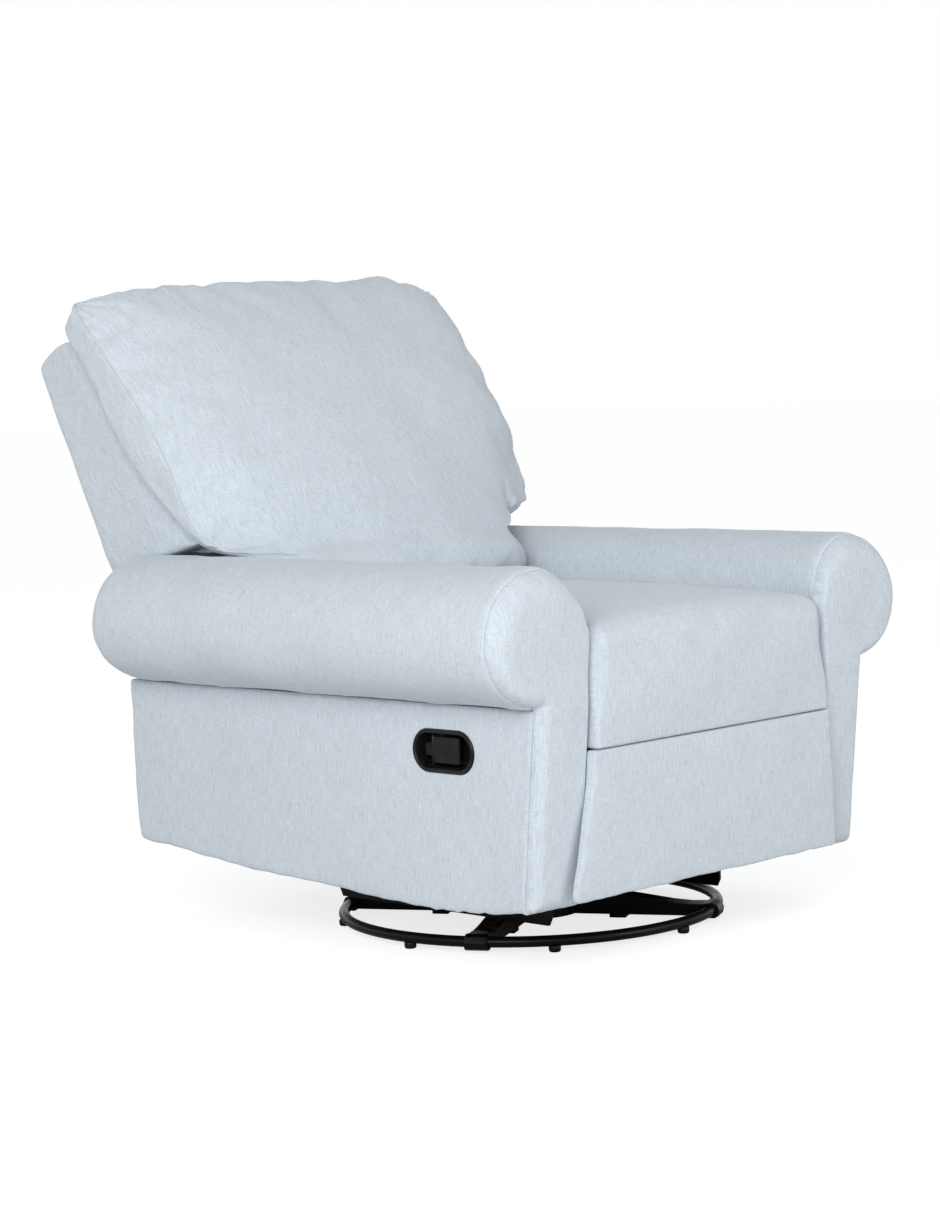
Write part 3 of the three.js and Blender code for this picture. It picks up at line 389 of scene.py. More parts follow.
def refine(piece, *fields):
    """Subdivides the piece once for good; fields hold a value for each vertex, and come back for the new."""
    for number, values in enumerate(fields):
        layer = piece.data.attributes.new(f"field_{number}", "FLOAT", "POINT")
        layer.data.foreach_set("value", np.asarray(values, np.float32))
    soft = piece.modifiers.new("refine", "SUBSURF")
    soft.levels = soft.render_levels = 1
    plain = piece.data
    piece.data = bpy.data.meshes.new_from_object(piece.evaluated_get(bpy.context.evaluated_depsgraph_get()))
    piece.modifiers.remove(soft)
    bpy.data.meshes.remove(plain)
    found = []
    for number in range(len(fields)):
        values = np.zeros(len(piece.data.vertices), np.float32)
        layer = piece.data.attributes[f"field_{number}"]
        layer.data.foreach_get("value", values)
        piece.data.attributes.remove(layer)
        found.append(values.astype(float))
    return found


# ------------------------------------------------------------------ finishes
class Nodes:
    """Short way to lay out the nodes of a new material or world."""

    def __init__(self, name, kind="materials"):
        """A new material, or world where kind says so, and its tree."""
        self.owner = getattr(bpy.data, kind).new(name)
        self.owner.use_nodes = True
        self.tree = self.owner.node_tree
        self.shader = self.tree.nodes.get("Principled BSDF")

    def add(self, kind, **settings):
        """A new node; each setting is one of its properties or, with _ for a space, one of its inputs."""
        node = self.tree.nodes.new(kind)
        for key, value in settings.items():
            if key in node.bl_rna.properties:
                setattr(node, key, value)
            else:
                node.inputs[key.replace("_", " ")].default_value = value
        return node

    def link(self, source, target):
        """Joins an output to an input."""
        self.tree.links.new(source, target)

    def feed(self, name, source):
        """Links a source to the shader's input of that name."""
        self.link(source, self.shader.inputs[name])

    def set(self, **values):
        """Sets the shader's inputs and returns the material."""
        for key, value in values.items():
            self.shader.inputs[key.replace("_", " ")].default_value = value
        return self.owner

    def noise(self, scale, uv=False, detail=2.0, roughness=0.5):
        """Noise with this many cells a metre along each axis, of the object or, with uv, of the cloth."""
        if uv:
            source = self.add("ShaderNodeUVMap", uv_map="weave").outputs["UV"]
        else:
            source = self.add("ShaderNodeTexCoord").outputs["Object"]
        mapping = self.add("ShaderNodeMapping", Scale=scale)
        self.link(source, mapping.inputs["Vector"])
        node = self.add("ShaderNodeTexNoise", Scale=1.0, Detail=detail, Roughness=roughness)
        self.link(mapping.outputs["Vector"], node.inputs["Vector"])
        return node.outputs["Fac"]

    def ramp(self, source, *stops):
        """Colours or greys along a source, each stop a place and its colour."""
        node = self.add("ShaderNodeValToRGB")
        ramp = node.color_ramp
        while len(ramp.elements) < len(stops):
            ramp.elements.new(0.5)
        for element, (place, shade) in zip(ramp.elements, stops):
            element.position = place
            element.color = (*np.broadcast_to(shade, 3), 1)
        self.link(source, node.inputs["Fac"])
        return node.outputs["Color"]

    def mix(self, factor, first, second, blend="MIX"):
        """First and second blended by a factor; each may be a link's source or a constant."""
        node = self.add("ShaderNodeMix", data_type="RGBA", blend_type=blend)
        for value, key in ((factor, "Factor"), (first, 6), (second, 7)):
            socket = node.inputs[key]
            if hasattr(value, "links"):
                self.link(value, socket)
            elif np.ndim(value):
                socket.default_value = (*value, 1)
            else:
                socket.default_value = value
        return node.outputs[2]

    def sum(self, first, second, share):
        """First plus a share of second."""
        node = self.add("ShaderNodeMath", operation="MULTIPLY_ADD")
        self.link(second, node.inputs[0])
        node.inputs[1].default_value = share
        self.link(first, node.inputs[2])
        return node.outputs[0]

    def bump(self, height, distance, strength):
        """Gives the shader a relief from a height."""
        node = self.add("ShaderNodeBump", Distance=distance, Strength=strength)
        self.link(height, node.inputs["Height"])
        self.feed("Normal", node.outputs["Normal"])

    def end(self, factor, first, second):
        """Ends the tree in the first shader where the factor is 0 and in the second where it is 1."""
        choose = self.add("ShaderNodeMixShader")
        for number, source in enumerate((factor, first.outputs[0], second.outputs[0])):
            self.link(source, choose.inputs[number])
        out = next(node for node in self.tree.nodes if node.type.startswith("OUTPUT"))
        self.link(choose.outputs[0], out.inputs["Surface"])


def linen_finish(colours):
    """Slubby linen: threads along the cloth's second direction, a crossing weave and sparse flecks."""
    n = Nodes("linen")
    long_slub = n.noise((520, 40, 1), uv=True, detail=3)
    fine_slub = n.noise((1250, 120, 1), uv=True)
    cross = n.noise((70, 900, 1), uv=True)
    cloud = n.noise((7, 5, 1), uv=True)
    spots = n.noise((1050, 75, 1), uv=True, detail=1)
    ground = n.mix(n.ramp(long_slub, (0.36, 0.0), (0.68, 1.0)), colours.linen, colours.slub)
    ground = n.mix(n.ramp(fine_slub, (0.40, 0.0), (0.72, 0.55)), ground, colours.slub)
    ground = n.mix(0.75, ground, n.ramp(cross, (0.3, 0.88), (0.62, 1.05)), "MULTIPLY")
    ground = n.mix(0.6, ground, n.ramp(cloud, (0.3, 0.955), (0.7, 1.0)), "MULTIPLY")
    n.feed("Base Color", n.mix(n.ramp(spots, (0.665, 0.0), (0.715, 0.66)), ground, colours.fleck))
    warp = n.noise((1000, 45, 1), uv=True)
    weft = n.noise((60, 1000, 1), uv=True)
    threads = n.sum(n.sum(n.sum(warp, weft, 0.7), long_slub, 1.3), fine_slub, 1.2)
    n.bump(threads, 0.0006, 0.75)
    return n.set(Roughness=0.92, Sheen_Weight=0.22, Sheen_Roughness=0.45, Specular_IOR_Level=0.22)


def enamel_finish(colours):
    """Black gloss paint with a faint orange peel and duller dust in patches."""
    n = Nodes("black_enamel")
    peel = n.noise((420, 420, 420))
    dust = n.noise((14, 14, 14), detail=4)
    grey = (0.010, 0.010, 0.012)
    n.feed("Base Color", n.mix(n.ramp(dust, (0.45, 0.0), (0.8, 0.35)), colours.enamel, grey))
    n.feed("Roughness", n.ramp(dust, (0.3, 0.2), (0.75, 0.38)))
    n.bump(peel, 0.0002, 0.35)
    return n.set(Specular_IOR_Level=0.15)


def plate_finish(name, metal, roughness):
    """Plated steel: rolled streaks along Y with small spangles."""
    n = Nodes(name)
    streak = n.noise((900, 30, 900), detail=3)
    spangle = n.noise((110, 110, 110))
    dark, bright = metal * 0.82, np.clip(metal * 1.12, 0, 1)
    n.feed("Base Color", n.mix(n.ramp(spangle, (0.35, 0.0), (0.7, 1.0)), dark, bright))
    n.feed("Roughness", n.ramp(streak, (0.2, roughness * 0.8), (0.8, roughness * 1.3)))
    n.bump(streak, 0.0002, 0.4)
    return n.set(Metallic=1.0, Specular_IOR_Level=0.5)


def moulding_finish():
    """Black glossy moulded plastic with a faint texture."""
    n = Nodes("black_moulding")
    grain = n.noise((1600, 1600, 1600))
    cloud = n.noise((30, 30, 30))
    n.feed("Base Color", n.ramp(cloud, (0.3, (0.006, 0.006, 0.007)), (0.75, (0.013, 0.013, 0.015))))
    n.feed("Roughness", n.ramp(cloud, (0.3, 0.24), (0.7, 0.34)))
    n.bump(grain, 0.00012, 0.35)
    return n.set(Specular_IOR_Level=0.2)


def board_finish(colours):
    """Plywood: stretched grain with darker late wood."""
    n = Nodes("plywood")
    grain = n.noise((60, 4, 60), detail=6, roughness=0.62)
    fibre = n.noise((700, 18, 700), detail=3)
    base = np.array(colours.plywood)
    wood = n.ramp(grain, (0.32, np.clip(base * 1.18, 0, 1)), (0.55, base), (0.75, base * 0.66))
    n.feed("Base Color", n.mix(0.35, wood, n.ramp(fibre, (0.35, 0.78), (0.65, 1.0)), "MULTIPLY"))
    n.bump(fibre, 0.0003, 0.5)
    return n.set(Roughness=0.72, Specular_IOR_Level=0.3)


def foam_finish(colours):
    """Open-cell foam: small pits over a mottled cream."""
    n = Nodes("foam")
    pits = n.add("ShaderNodeTexVoronoi", feature="F1", Scale=420)
    n.link(n.add("ShaderNodeTexCoord").outputs["Object"], pits.inputs["Vector"])
    mottled = n.noise((25, 25, 25), detail=3)
    base = np.array(colours.foam)
    n.feed("Base Color", n.ramp(mottled, (0.3, base * 0.86), (0.7, base)))
    n.bump(pits.outputs["Distance"], 0.0008, 0.8)
    return n.set(Roughness=0.95, Specular_IOR_Level=0.15)


MAKERS = {  # by the frame's material slots
    "linen": linen_finish,
    "black_steel": enamel_finish,
    "zinc_steel": lambda colours: plate_finish("zinc_plate", np.array(colours.zinc), 0.38),
    "spring_steel": lambda colours: plate_finish("spring_wire", np.array(colours.zinc) * 0.8, 0.34),
    "black_plastic": lambda colours: moulding_finish(),
    "plywood": board_finish,
    "foam": foam_finish,
}
FINISHES = {}


def finish(slot):
    """The finish of a material slot, made the first time it is asked for."""
    if slot not in FINISHES:
        FINISHES[slot] = MAKERS[slot](bpy.context.scene.recliner_colours)
    return FINISHES[slot]


# ------------------------------------------------------------------ the back's planes
# Bottom and top of the back's two faces: the distance behind the swivel axis and the height above the floor.
PILLOW_LOW, PILLOW_TOP = np.array([0.361, 0.624]), np.array([0.602, 0.927])  # where the pillow rests
REAR_LOW, REAR_TOP = np.array([0.467, 0.345]), np.array([0.740, 0.903])


def on_plane(low, top, s, n):
    """Y and Z of a point s up along the line from low to top and n forward from it."""
    rise = (top - low) / np.linalg.norm(top - low)
    return at_axis(low[0] + rise[0] * s - rise[1] * n), low[1] + rise[1] * s + rise[0] * n


def ahead_of(points, low, top, gap):
    """The points, with those behind a leaning plane brought to a gap in front of it."""
    rise = (top - low) / np.linalg.norm(top - low)
    ahead = (points[:, 1] - at_axis(low[0])) * -rise[1] + (points[:, 2] - low[1]) * rise[0]
    push = np.clip(gap - ahead, 0, None)
    return points + push[:, None] * np.array([0, -rise[1], rise[0]])


# ------------------------------------------------------------------ pillow
PILLOW_HALF, PILLOW_DEEP = 0.404, 0.066
PILLOW_BOTTOM, PILLOW_HEAD = -0.121, 0.430  # its lower and upper seam, along the face it rests on
EAR_LOW = -0.020  # height of the corner where an ear meets the part that hangs between the arms
BACK_HALF = 0.369  # half the width of the face it rests on


def pillow_lines(low, high, edge, count):
    """Lattice lines that lie closer together towards both ends."""
    turn = edge * (1 - np.tan(np.linspace(0, np.pi / 4, 4))[1:])
    even = np.linspace(-1, 1, count + 1)
    inner = (low + high) / 2 + (0.62 * np.sin(np.pi / 2 * even) + 0.38 * even) * ((high - low) / 2 - edge)
    return np.concatenate([(low + turn)[::-1], inner, high - turn])


def ear_notch(x):
    """How far across the corner below an ear lies: further out on the handle's side."""
    return np.where(x < 0, 0.338, 0.285)


def pillow_point(x, s, n):
    """A point of the plain pillow: across, up and forward, with a crown that falls steeply at the seams.

    Half widths, depth at the seams, crown and tilt are splines of the height. Below the ears only the middle
    goes on. On the handle's side (x below 0) it spreads over the arm's shoulder, with the ear low; the other
    ear hangs higher. Outside the back's own width the sides reach a little behind its face.
    """
    handle = x < 0
    size = np.abs(x)
    hanging = [-0.124, -0.108, -0.07, -0.05, -0.038, -0.03, -0.024, -0.018, -0.01, 0.0, 0.016, 0.05, 0.11]
    knots = hanging + [0.18, 0.29, 0.375, 0.412, 0.43]
    spread = [0.264, 0.270, 0.280, 0.300, 0.318, 0.330, 0.342, 0.352, 0.362, 0.368, 0.376, 0.385, 0.393]
    narrow = [0.262, 0.267, 0.268, 0.268, 0.269, 0.272, 0.284, 0.340, 0.370, 0.379, 0.387, 0.395, 0.399]
    one_side = spline(s, knots, spread + [0.400, 0.402, 0.402, 0.401, 0.396])
    other_side = spline(s, knots, narrow + [0.403, 0.413, 0.421, 0.420, 0.414])
    width = np.where(handle, one_side, other_side)
    depth = spline(
        s,
        [-0.124, -0.108, -0.03, -0.02, 0.0, 0.05, 0.11, 0.18, 0.29, 0.375, 0.412, 0.43],
        [0.040, 0.050, 0.053, 0.044, 0.042, 0.050, 0.060, 0.067, 0.068, 0.066, 0.068, 0.072],
    )
    crown = spline(
        s,
        [-0.124, -0.108, -0.03, 0.0, 0.05, 0.11, 0.18, 0.29, 0.375, 0.412, 0.43],
        [0.020, 0.038, 0.066, 0.074, 0.074, 0.071, 0.067, 0.065, 0.056, 0.041, 0.023],
    )
    crown = crown + 0.017 * fade(x, 0.10, 0.32) * fade(s, 0.04, 0.24) * (1 - 0.4 * fade(s, 0.36, 0.43))
    beside = spline(
        s,
        [-0.124, -0.06, -0.03, 0.0, 0.045, 0.085, 0.137, 0.205, 0.30, 0.408, 0.43],
        [0.040, 0.045, 0.024, 0.014, 0.024, 0.038, 0.056, 0.062, 0.058, 0.048, 0.047],
    )
    level = -(PILLOW_TOP - PILLOW_LOW)[0] / (PILLOW_TOP - PILLOW_LOW)[1]
    share_at = [-0.02, 0.02, 0.06, 0.11, 0.18, 0.29, 0.375, 0.43]
    share = spline(s, share_at, [1, 0.95, 0.7, 0.4, 0.1, 0, -0.25, -0.5])
    on_ear = fade(size, 0.262, 0.30) * fade(s, -0.034, -0.022)
    tilt = level * share * (1 + np.where(handle, 0.15, -0.5) * on_ear)
    straight = 0.16  # half width of the middle, which is never stretched
    bent = straight + (size - straight) * (width - straight) / (PILLOW_HALF - straight)
    size = np.where(size > straight, bent, size)
    across = np.clip(size / width, 0, 1)
    thinned = np.where(handle, 1, 0.4 + 0.6 * fade(s, 0.0, -0.05))
    depth = depth + (beside - depth) * fade(across, 0.72, 1.0) * thinned
    base = np.where(handle, 0.62, 0.34)
    fall = base + (1 - base) * fade(s, 0.13, 0.03)
    bulge = np.clip(1 - (size / np.maximum(width, 0.385)) ** 2, 0, 1) ** fall * np.sqrt(1 - across**12)
    far = n / PILLOW_DEEP * (depth + crown * bulge)
    crease = 0.012 * hump(size, ear_notch(x), 0.013) * fade(s, 0.060, -0.01) * fade(s, -0.035, -0.015)
    far = far - crease * n / PILLOW_DEEP
    corner = fade(across, 0.62, 1.0)
    arch = (0.018 * corner + 0.004 * fade(x, -0.2, 0.3) - 0.007) * fade(s, 0.30, PILLOW_HEAD)
    lift = (0.006 + 0.010 * fade(size, 0.30, 0.37)) * np.where(handle, 0, on_ear) * fade(s, 0.12, 0.0)
    wrap = 0.014 * fade(size, 0.368, 0.398) * fade(s, 0.02, 0.14) * fade(s, 0.33, 0.24)
    wrap = wrap * (1 - n / PILLOW_DEEP)
    y, z = on_plane(PILLOW_LOW, PILLOW_TOP, s + tilt * far + arch, far + 0.0005 - wrap)
    return np.stack([np.sign(x) * size, y, z + lift], -1)


def between_arms(points):
    """The pillow's points kept off the arms: X stops at the rolls' circles, and below at the inner walls."""
    height = points[:, 2]
    shoulder = ROLL_X - np.sqrt(np.clip(ROLL_R**2 - (height - ROLL_Z) ** 2, 0, None)) - 0.002
    limit = np.where(height < ROLL_TOP, np.maximum(shoulder, ARM_INNER - 0.0015), PILLOW_HALF + 0.026)
    points[:, 0] = np.clip(points[:, 0], -limit, limit)
    return points


def make_back_pillow(sizes):
    """Boxed T-shaped pillow: settled by pressure, then gathered along the boxing and at the corners and ears.

    Each set of gathers is a wave, along a seam or round a corner, times exp(-distance from it / a length).
    """
    half, low, high, edge = PILLOW_HALF, PILLOW_BOTTOM, PILLOW_HEAD, sizes.welt
    us = pillow_lines(-half, half, edge, 62)
    vs = pillow_lines(low, high, edge, 40)
    at_ears = np.linspace(-0.032, 0.012, 12)
    vs = np.unique(np.round(np.concatenate([vs[(vs < -0.034) | (vs > 0.014)], at_ears]), 5))
    u, v, w, quads, side = lattice(us, vs, lines(0, PILLOW_DEEP, edge, 5))
    points = pillow_point(*rounded(u, v, w, ((-half, half), (low, high), (0, PILLOW_DEEP)), edge).T)
    piece = make_cloth("back_pillow_cover", points, quads, block_weave(u, v, w, quads, side))
    held = np.where(w == w.min(), 1.0, 0.0)
    settle(piece, sizes.plump, sizes.steps, 0.55, held, seam_mask(u, v, w))
    u, v, w, seam = refine(piece, u, v, w, seam_mask(u, v, w))
    points, out = surface(piece)
    front = np.clip(w / PILLOW_DEEP, 0, 1)
    points -= out * (seam**4 * front * sizes.seam)[:, None]
    from_side, from_top = half - np.abs(u), high - v
    above_ears = fade(v, -0.039, -0.014)
    near_side = gathers(v, from_side, 0.028, 0.026, 3) * above_ears * np.where(u < 0, 1.0, 0.3)
    near_top = gathers(u, from_top, 0.040, 0.022, 9)
    corner, turn = np.hypot(from_side, from_top), np.arctan2(from_top, from_side)
    radial = np.cos(turn * 19 + 2.0 * np.sign(u)) * np.exp(-corner / 0.040) * fade(corner, 0.0, 0.02)
    beyond = np.abs(points[:, 0]) - ear_notch(u)
    ear, ear_turn = np.hypot(beyond, v - EAR_LOW), np.arctan2(v - EAR_LOW, beyond)
    ear_folds = np.cos(ear_turn * 9 + 1) * np.exp(-ear / 0.030) * fade(ear, 0.0, 0.02)
    folds = 0.6 * near_side + 0.5 * near_top + 1.5 * radial + 1.2 * ear_folds
    swell = ripple(u, v, 0.15, 21) * 0.0020 * front
    points += out * (sizes.pucker * folds * fade(front, 0.45, 1.0) + swell)[:, None]
    uneven_top = 0.0045 * ripple(u, 0 * u, 0.15, 33) + 0.002 * ripple(u, 0 * u, 0.05, 35)
    points[:, 2] += uneven_top * np.exp(-from_top / 0.03)
    points = between_arms(points)
    on_back = np.abs(points[:, 0]) < BACK_HALF
    put(piece, np.where(on_back[:, None], ahead_of(points, PILLOW_LOW, PILLOW_TOP, 0.0004), points))
    dress(piece, "back", "back_pillow", fill=0.8, levels=0)


# ------------------------------------------------------------------ seat and footrest
def make_seat_cushion(sizes):
    """Seat: a block with a crowned top, a full front and small lower edges, settled by pressure."""
    low, high = span("seat_cushion")
    half, bottom = high[0] - 0.0005, low[2]
    front, back = low[1] + 0.002, high[1]
    edge_top = 0.507  # height of the top's rim
    small, large = 0.006, 0.032  # radius of the lower and the upper edges
    us, vs = lines(-half, half, large, 44, 5), lines(front, back, large, 56, 5)
    ws = lines(bottom, edge_top, large, 8, 5)
    us = np.unique(np.round(np.concatenate([us, [small - half, half - small]]), 5))
    vs = np.unique(np.round(np.concatenate([vs, [front + small]]), 5))
    ws = np.unique(np.round(np.concatenate([ws, [bottom + small, bottom + 0.002]]), 5))
    u, v, w, quads, side = lattice(us, vs, ws)
    radius = (small + (large - small) * fade(w, bottom + 0.03, bottom + 0.11))[:, None]
    x, y, z = rounded(u, v, w, ((-half, half), (front, back), (bottom, edge_top)), radius).T
    lift = np.clip((z - bottom) / (edge_top - bottom), 0, 1)
    run = spline(y - front, [0, 0.03, 0.09, 0.40, 0.65, 0.765], [0.012, 0.017, 0.022, 0.024, 0.014, 0.0])
    crown = run * (1 - np.abs(x / half) ** 2.4) * lift**1.5
    belly = 0.007 * np.sin(np.pi * lift) ** 0.8 * (1 - (x / half) ** 4) * fade(y, front + 0.06, front)
    points = np.stack([x, y - belly, z + crown], -1)
    piece = make_cloth("seat_cushion_cover", points, quads, block_weave(u, v, w, quads, side))
    held = np.where((w < bottom + 0.003) | (v == v.max()), 1.0, 0.0)
    settle(piece, sizes.plump * 0.5, sizes.steps, 0.2, held, seam_mask(u, v, w) * (w == w.min()))
    points, out = surface(piece)
    up = fade(w, bottom + 0.01, bottom + 0.06)
    seam = gathers(u, w - bottom, 0.05, 0.02, 40) * fade(v, front + 0.08, front)
    seam = seam * fade(w, bottom, bottom + 0.004)
    soft = ripple(u, v + w, 0.12, 44) * 0.0010 + ripple(u, v + w, 0.34, 45) * 0.0020
    points += out * (soft * up + sizes.pucker * 0.35 * seam)[:, None]
    points[:, 0] = np.clip(points[:, 0], -half - 0.0025, half + 0.0025)
    points[:, 2] = np.maximum(points[:, 2], bottom)
    put(piece, points)
    dress(piece, "carriage", "seat_cushion", fill=0.9)


def make_footrest_pad(sizes):
    """Footrest: a soft board with rounded edges that leans back and widens towards its lower end."""
    low, high = span("ottoman_pad")
    top_half, tall = 0.2745, high[2] - low[2]
    heights = low[2] + tall * np.array([0, 0.03, 0.30, 0.62, 0.82, 1])

    def warp(x, y, z):
        """X stretched to its height's half width, and the front moved by the lean, puff and soft waves."""
        across, rise = x / top_half, np.clip((z - low[2]) / tall, 0, 1)
        left = spline(z, heights, [0.295, 0.297, 0.292, 0.284, 0.278, 0.2765])
        right = spline(z, heights, [0.313, 0.316, 0.304, 0.290, 0.2815, 0.2785])
        front = np.clip((high[1] - y) / (high[1] - low[1]), 0, 1)
        lean = 0.011 * (1 - rise) ** 1.2
        puff = 0.0045 * (1 - across**6) * np.sin(np.pi * rise) ** 0.5
        soft = 0.0011 * ripple(x, z, 0.12, 51)
        hem = 0.0014 * ripple(x, 0 * x, 0.09, 52) * fade(z, low[2] + 0.04, low[2])
        width = np.where(x < 0, right, left)
        return np.stack([across * width, y + front * (lean - puff - soft), z + hem], -1)

    box = ((-top_half, top_half), (low[1], high[1]), (low[2], high[2] + 0.0092))
    piece, u, v, w = make_block("footrest_pad_cover", box, 0.005, (90, 2, 36), warp)
    points, out = surface(piece)
    front = fade(v, high[1], low[1])
    pull = gathers(w, top_half - np.abs(u), 0.040, 0.025, 55) + gathers(u, w - low[2], 0.045, 0.022, 57)
    points += out * (sizes.pucker * 0.30 * pull * front)[:, None]
    put(piece, points)
    dress(piece, "ottoman", "ottoman_pad", fill=0.85, levels=0)


# ------------------------------------------------------------------ arms
ROLL_X, ROLL_Z, ROLL_R = 0.365, 0.495, 0.105  # the roll's centre and radius
ROLL_WIDE, ROLL_LOW = 1.065, 0.95  # its outer half is this much wider than round, and its underside flatter
ROLL_TOP = ROLL_Z + ROLL_R
ARM_INNER, WALL_X = 0.276, 0.377  # the arm's inner and outer wall
INNER_R = ROLL_X - ARM_INNER
SEAM_Y, FACE_Y = -0.376, -0.396  # the seam behind the front facing, and the facing's plane
HEAD_ROUND, HEAD_SEAM = 0.036, 0.016  # radius at the roll's front, and how far along it the seam lies
HEAD_IN = HEAD_ROUND - np.sqrt(HEAD_ROUND**2 - HEAD_SEAM**2)
HEAD_R = ROLL_R - 0.001 - HEAD_IN  # the roll's radius at that seam
PANEL_TOP, POST_LOW = 0.3945, 0.098  # top of the side panels, and foot of the front facings
LEAN, LEAN_TOP = 0.031, 0.399  # how far the arms' fronts lean back at POST_LOW, and from which height down


def front_lean(z):
    """How far the arms' fronts lean back at a height."""
    return LEAN * np.clip((LEAN_TOP - z) / (LEAN_TOP - POST_LOW), 0, None)


def run_length(a, b):
    """Distance along a line of points, from its first point to each."""
    return np.concatenate([[0], np.cumsum(np.hypot(np.diff(a), np.diff(b)))])


def roll_section():
    """The roll's section in X and Z: from the seam under it, round it, and down the inside as a flap.

    The outer part is a widened circle about its centre; over the top a smaller circle meets the inner wall.
    """
    outer = np.linspace(-1.455, np.pi / 2, 40)
    inner = np.linspace(np.pi / 2, np.pi, 20)[1:]
    outer_z = ROLL_Z + ROLL_R * np.sin(outer) * np.where(outer < 0, ROLL_LOW, 1)
    inner_z = ROLL_TOP - INNER_R + INNER_R * np.sin(inner)
    flap = np.linspace(inner_z[-1], 0.352, 10)[1:]
    outer_x, inner_x = ROLL_X + ROLL_R * ROLL_WIDE * np.cos(outer), ROLL_X + INNER_R * np.cos(inner)
    x = np.concatenate([outer_x, inner_x, np.full(len(flap), ARM_INNER)])
    return x, np.concatenate([outer_z, inner_z, flap])


def make_arm_roll(sizes, side, s):
    """Roll: its section carried from the front seam to a domed rear end, gathered above the side panel.

    Towards its ends the section shrinks about the roll's centre: by a quarter circle at the rear, and in
    front by the head's rounding up to the seam. The gathers and soft waves then swell it.
    """
    seed = int(s)
    x, z = roll_section()
    shown = len(x)
    # out of sight, the section turns back up the wall and closes under the roll
    x = np.concatenate([x, [ARM_INNER + 0.002, 0.289, 0.289, 0.300, 0.340]])
    z = np.concatenate([z, [0.3465, 0.3465, 0.388, 0.3905, 0.3905]])
    rear, dome = 0.511, 0.030
    near_seam = SEAM_Y + np.array([0, 0.003, 0.007, 0.012, 0.018, 0.025])
    straight = np.concatenate([near_seam, np.linspace(SEAM_Y + 0.036, rear - dome, 62)])
    turn = np.linspace(0, np.pi / 2, 9)[1:]
    closing = np.array([0.008, 0.025, 0.045, 0.062, 0.073])  # steps inwards over the rear end
    along = np.concatenate([straight, rear - dome + dome * np.sin(turn), np.full(len(closing), rear)])
    shrink = np.concatenate([np.zeros(len(straight)), dome * (1 - np.cos(turn)), dome + closing])
    before = np.clip(SEAM_Y + HEAD_SEAM - along, 0, HEAD_SEAM)
    rounding = HEAD_ROUND - np.sqrt(HEAD_ROUND**2 - before**2)
    rounding[:3] += [0.0010, 0.0004, 0.0001]  # the seam pulls it in
    on_head = np.maximum(fade(z, 0.50, 0.56), fade(x, ROLL_X - 0.03, ROLL_X))
    inward = shrink[:, None] + rounding[:, None] * on_head * fade(z, 0.389, 0.405)
    dx, dz = x - ROLL_X, z - ROLL_Z
    reach = np.hypot(dx, dz)
    keep = np.clip(1 - inward / np.maximum(reach, 1e-6), 0.02, 1)
    keep = 1 - (1 - keep) * np.where(z > 0.3895, 1.0, 0.25)

    y, arc = along[:, None], run_length(x, z)
    fold = gathers(y, arc, 0.026, 0.030, 61 + seed) * fade(arc, 0.0, 0.006)
    end_fold = gathers(arc, y - SEAM_Y, 0.030, 0.020, 65 + seed) * fade(y, SEAM_Y, SEAM_Y + 0.006)
    rear_fold = gathers(arc, rear - y, 0.028, 0.022, 69 + seed)
    soft = 0.0014 * ripple(y, arc, 0.17, 71 + seed) + 0.0006 * ripple(y, arc, 0.06, 73 + seed)
    skin = (np.arange(len(x)) < shown).astype(float)
    swell = (sizes.pucker * (0.8 * fold + 0.30 * end_fold + 0.5 * rear_fold) + soft) * skin
    swell = swell * fade(arc, arc[shown - 1] - 0.02, arc[shown - 1] - 0.12)
    under = 0.0022 * np.exp(-((arc - 0.045) ** 2) / 0.0012)
    grow = keep * (1 + (swell - under * skin) / np.maximum(reach, 0.02))
    px = s * np.maximum(ROLL_X + dx * grow, ARM_INNER - 0.0005)
    points = np.stack([px, np.broadcast_to(at_axis(y), grow.shape), ROLL_Z + dz * grow], -1)

    flat, quads, ends = loft(points)
    perimeter = np.concatenate([arc, [arc[-1] + 0.03]])
    chart = np.stack(np.meshgrid(run_length(along, shrink), perimeter, indexing="ij"), -1)
    quads, corners, ends = outward(flat, quads, cells(chart)[:, COLUMN_FIRST], ends)
    weave = np.concatenate([corners.reshape(-1, 2), flat[ends][..., [0, 2]].reshape(-1, 2)])
    piece = make_mesh(f"arm_roll_cover_{side}", flat, quads, ends, weave)
    dress(piece, "carriage", f"arm_roll_{side}", fill=0.95)


def arm_edges(z):
    """Inner and outer X of the arm's front facing at a height: the roll's circles above, the post below."""
    crown = ROLL_TOP - INNER_R
    top = INNER_R - 0.001 - HEAD_IN * fade(z, 0.50, 0.56)
    above = np.clip(z - crown, 0, top - 0.001)
    wall = ARM_INNER + 0.0005 - 0.005 * hump(z, 0.497, 0.045)
    inner = np.where(z > crown, ROLL_X - np.sqrt(top**2 - above**2), wall)
    rise = np.clip((z - ROLL_Z) / (HEAD_R * np.where(z < ROLL_Z, ROLL_LOW, 1)), -1, 1)
    outer = ROLL_X + HEAD_R * ROLL_WIDE * np.sqrt(1 - rise**2)
    return inner, np.maximum(outer, np.where(z < ROLL_Z, WALL_X - 0.0005, 0))


def from_outline(x, z, rows):
    """Distance of each X and Z from the facing's outline, taken as points six times as close as its rows."""
    left, right = arm_edges(rows)
    ring = np.stack([np.concatenate([left, right[::-1]]), np.concatenate([rows, rows[::-1]])])
    number = np.arange(ring.shape[1])
    fine = np.linspace(0, number[-1], 6 * len(number))
    foot = np.stack([np.linspace(ARM_INNER, WALL_X, 40), np.full(40, POST_LOW)])
    ring_x, ring_z = np.concatenate([[np.interp(fine, number, line) for line in ring], foot], 1)
    return np.sqrt(((x[:, None] - ring_x) ** 2 + (z[:, None] - ring_z) ** 2).min(1))


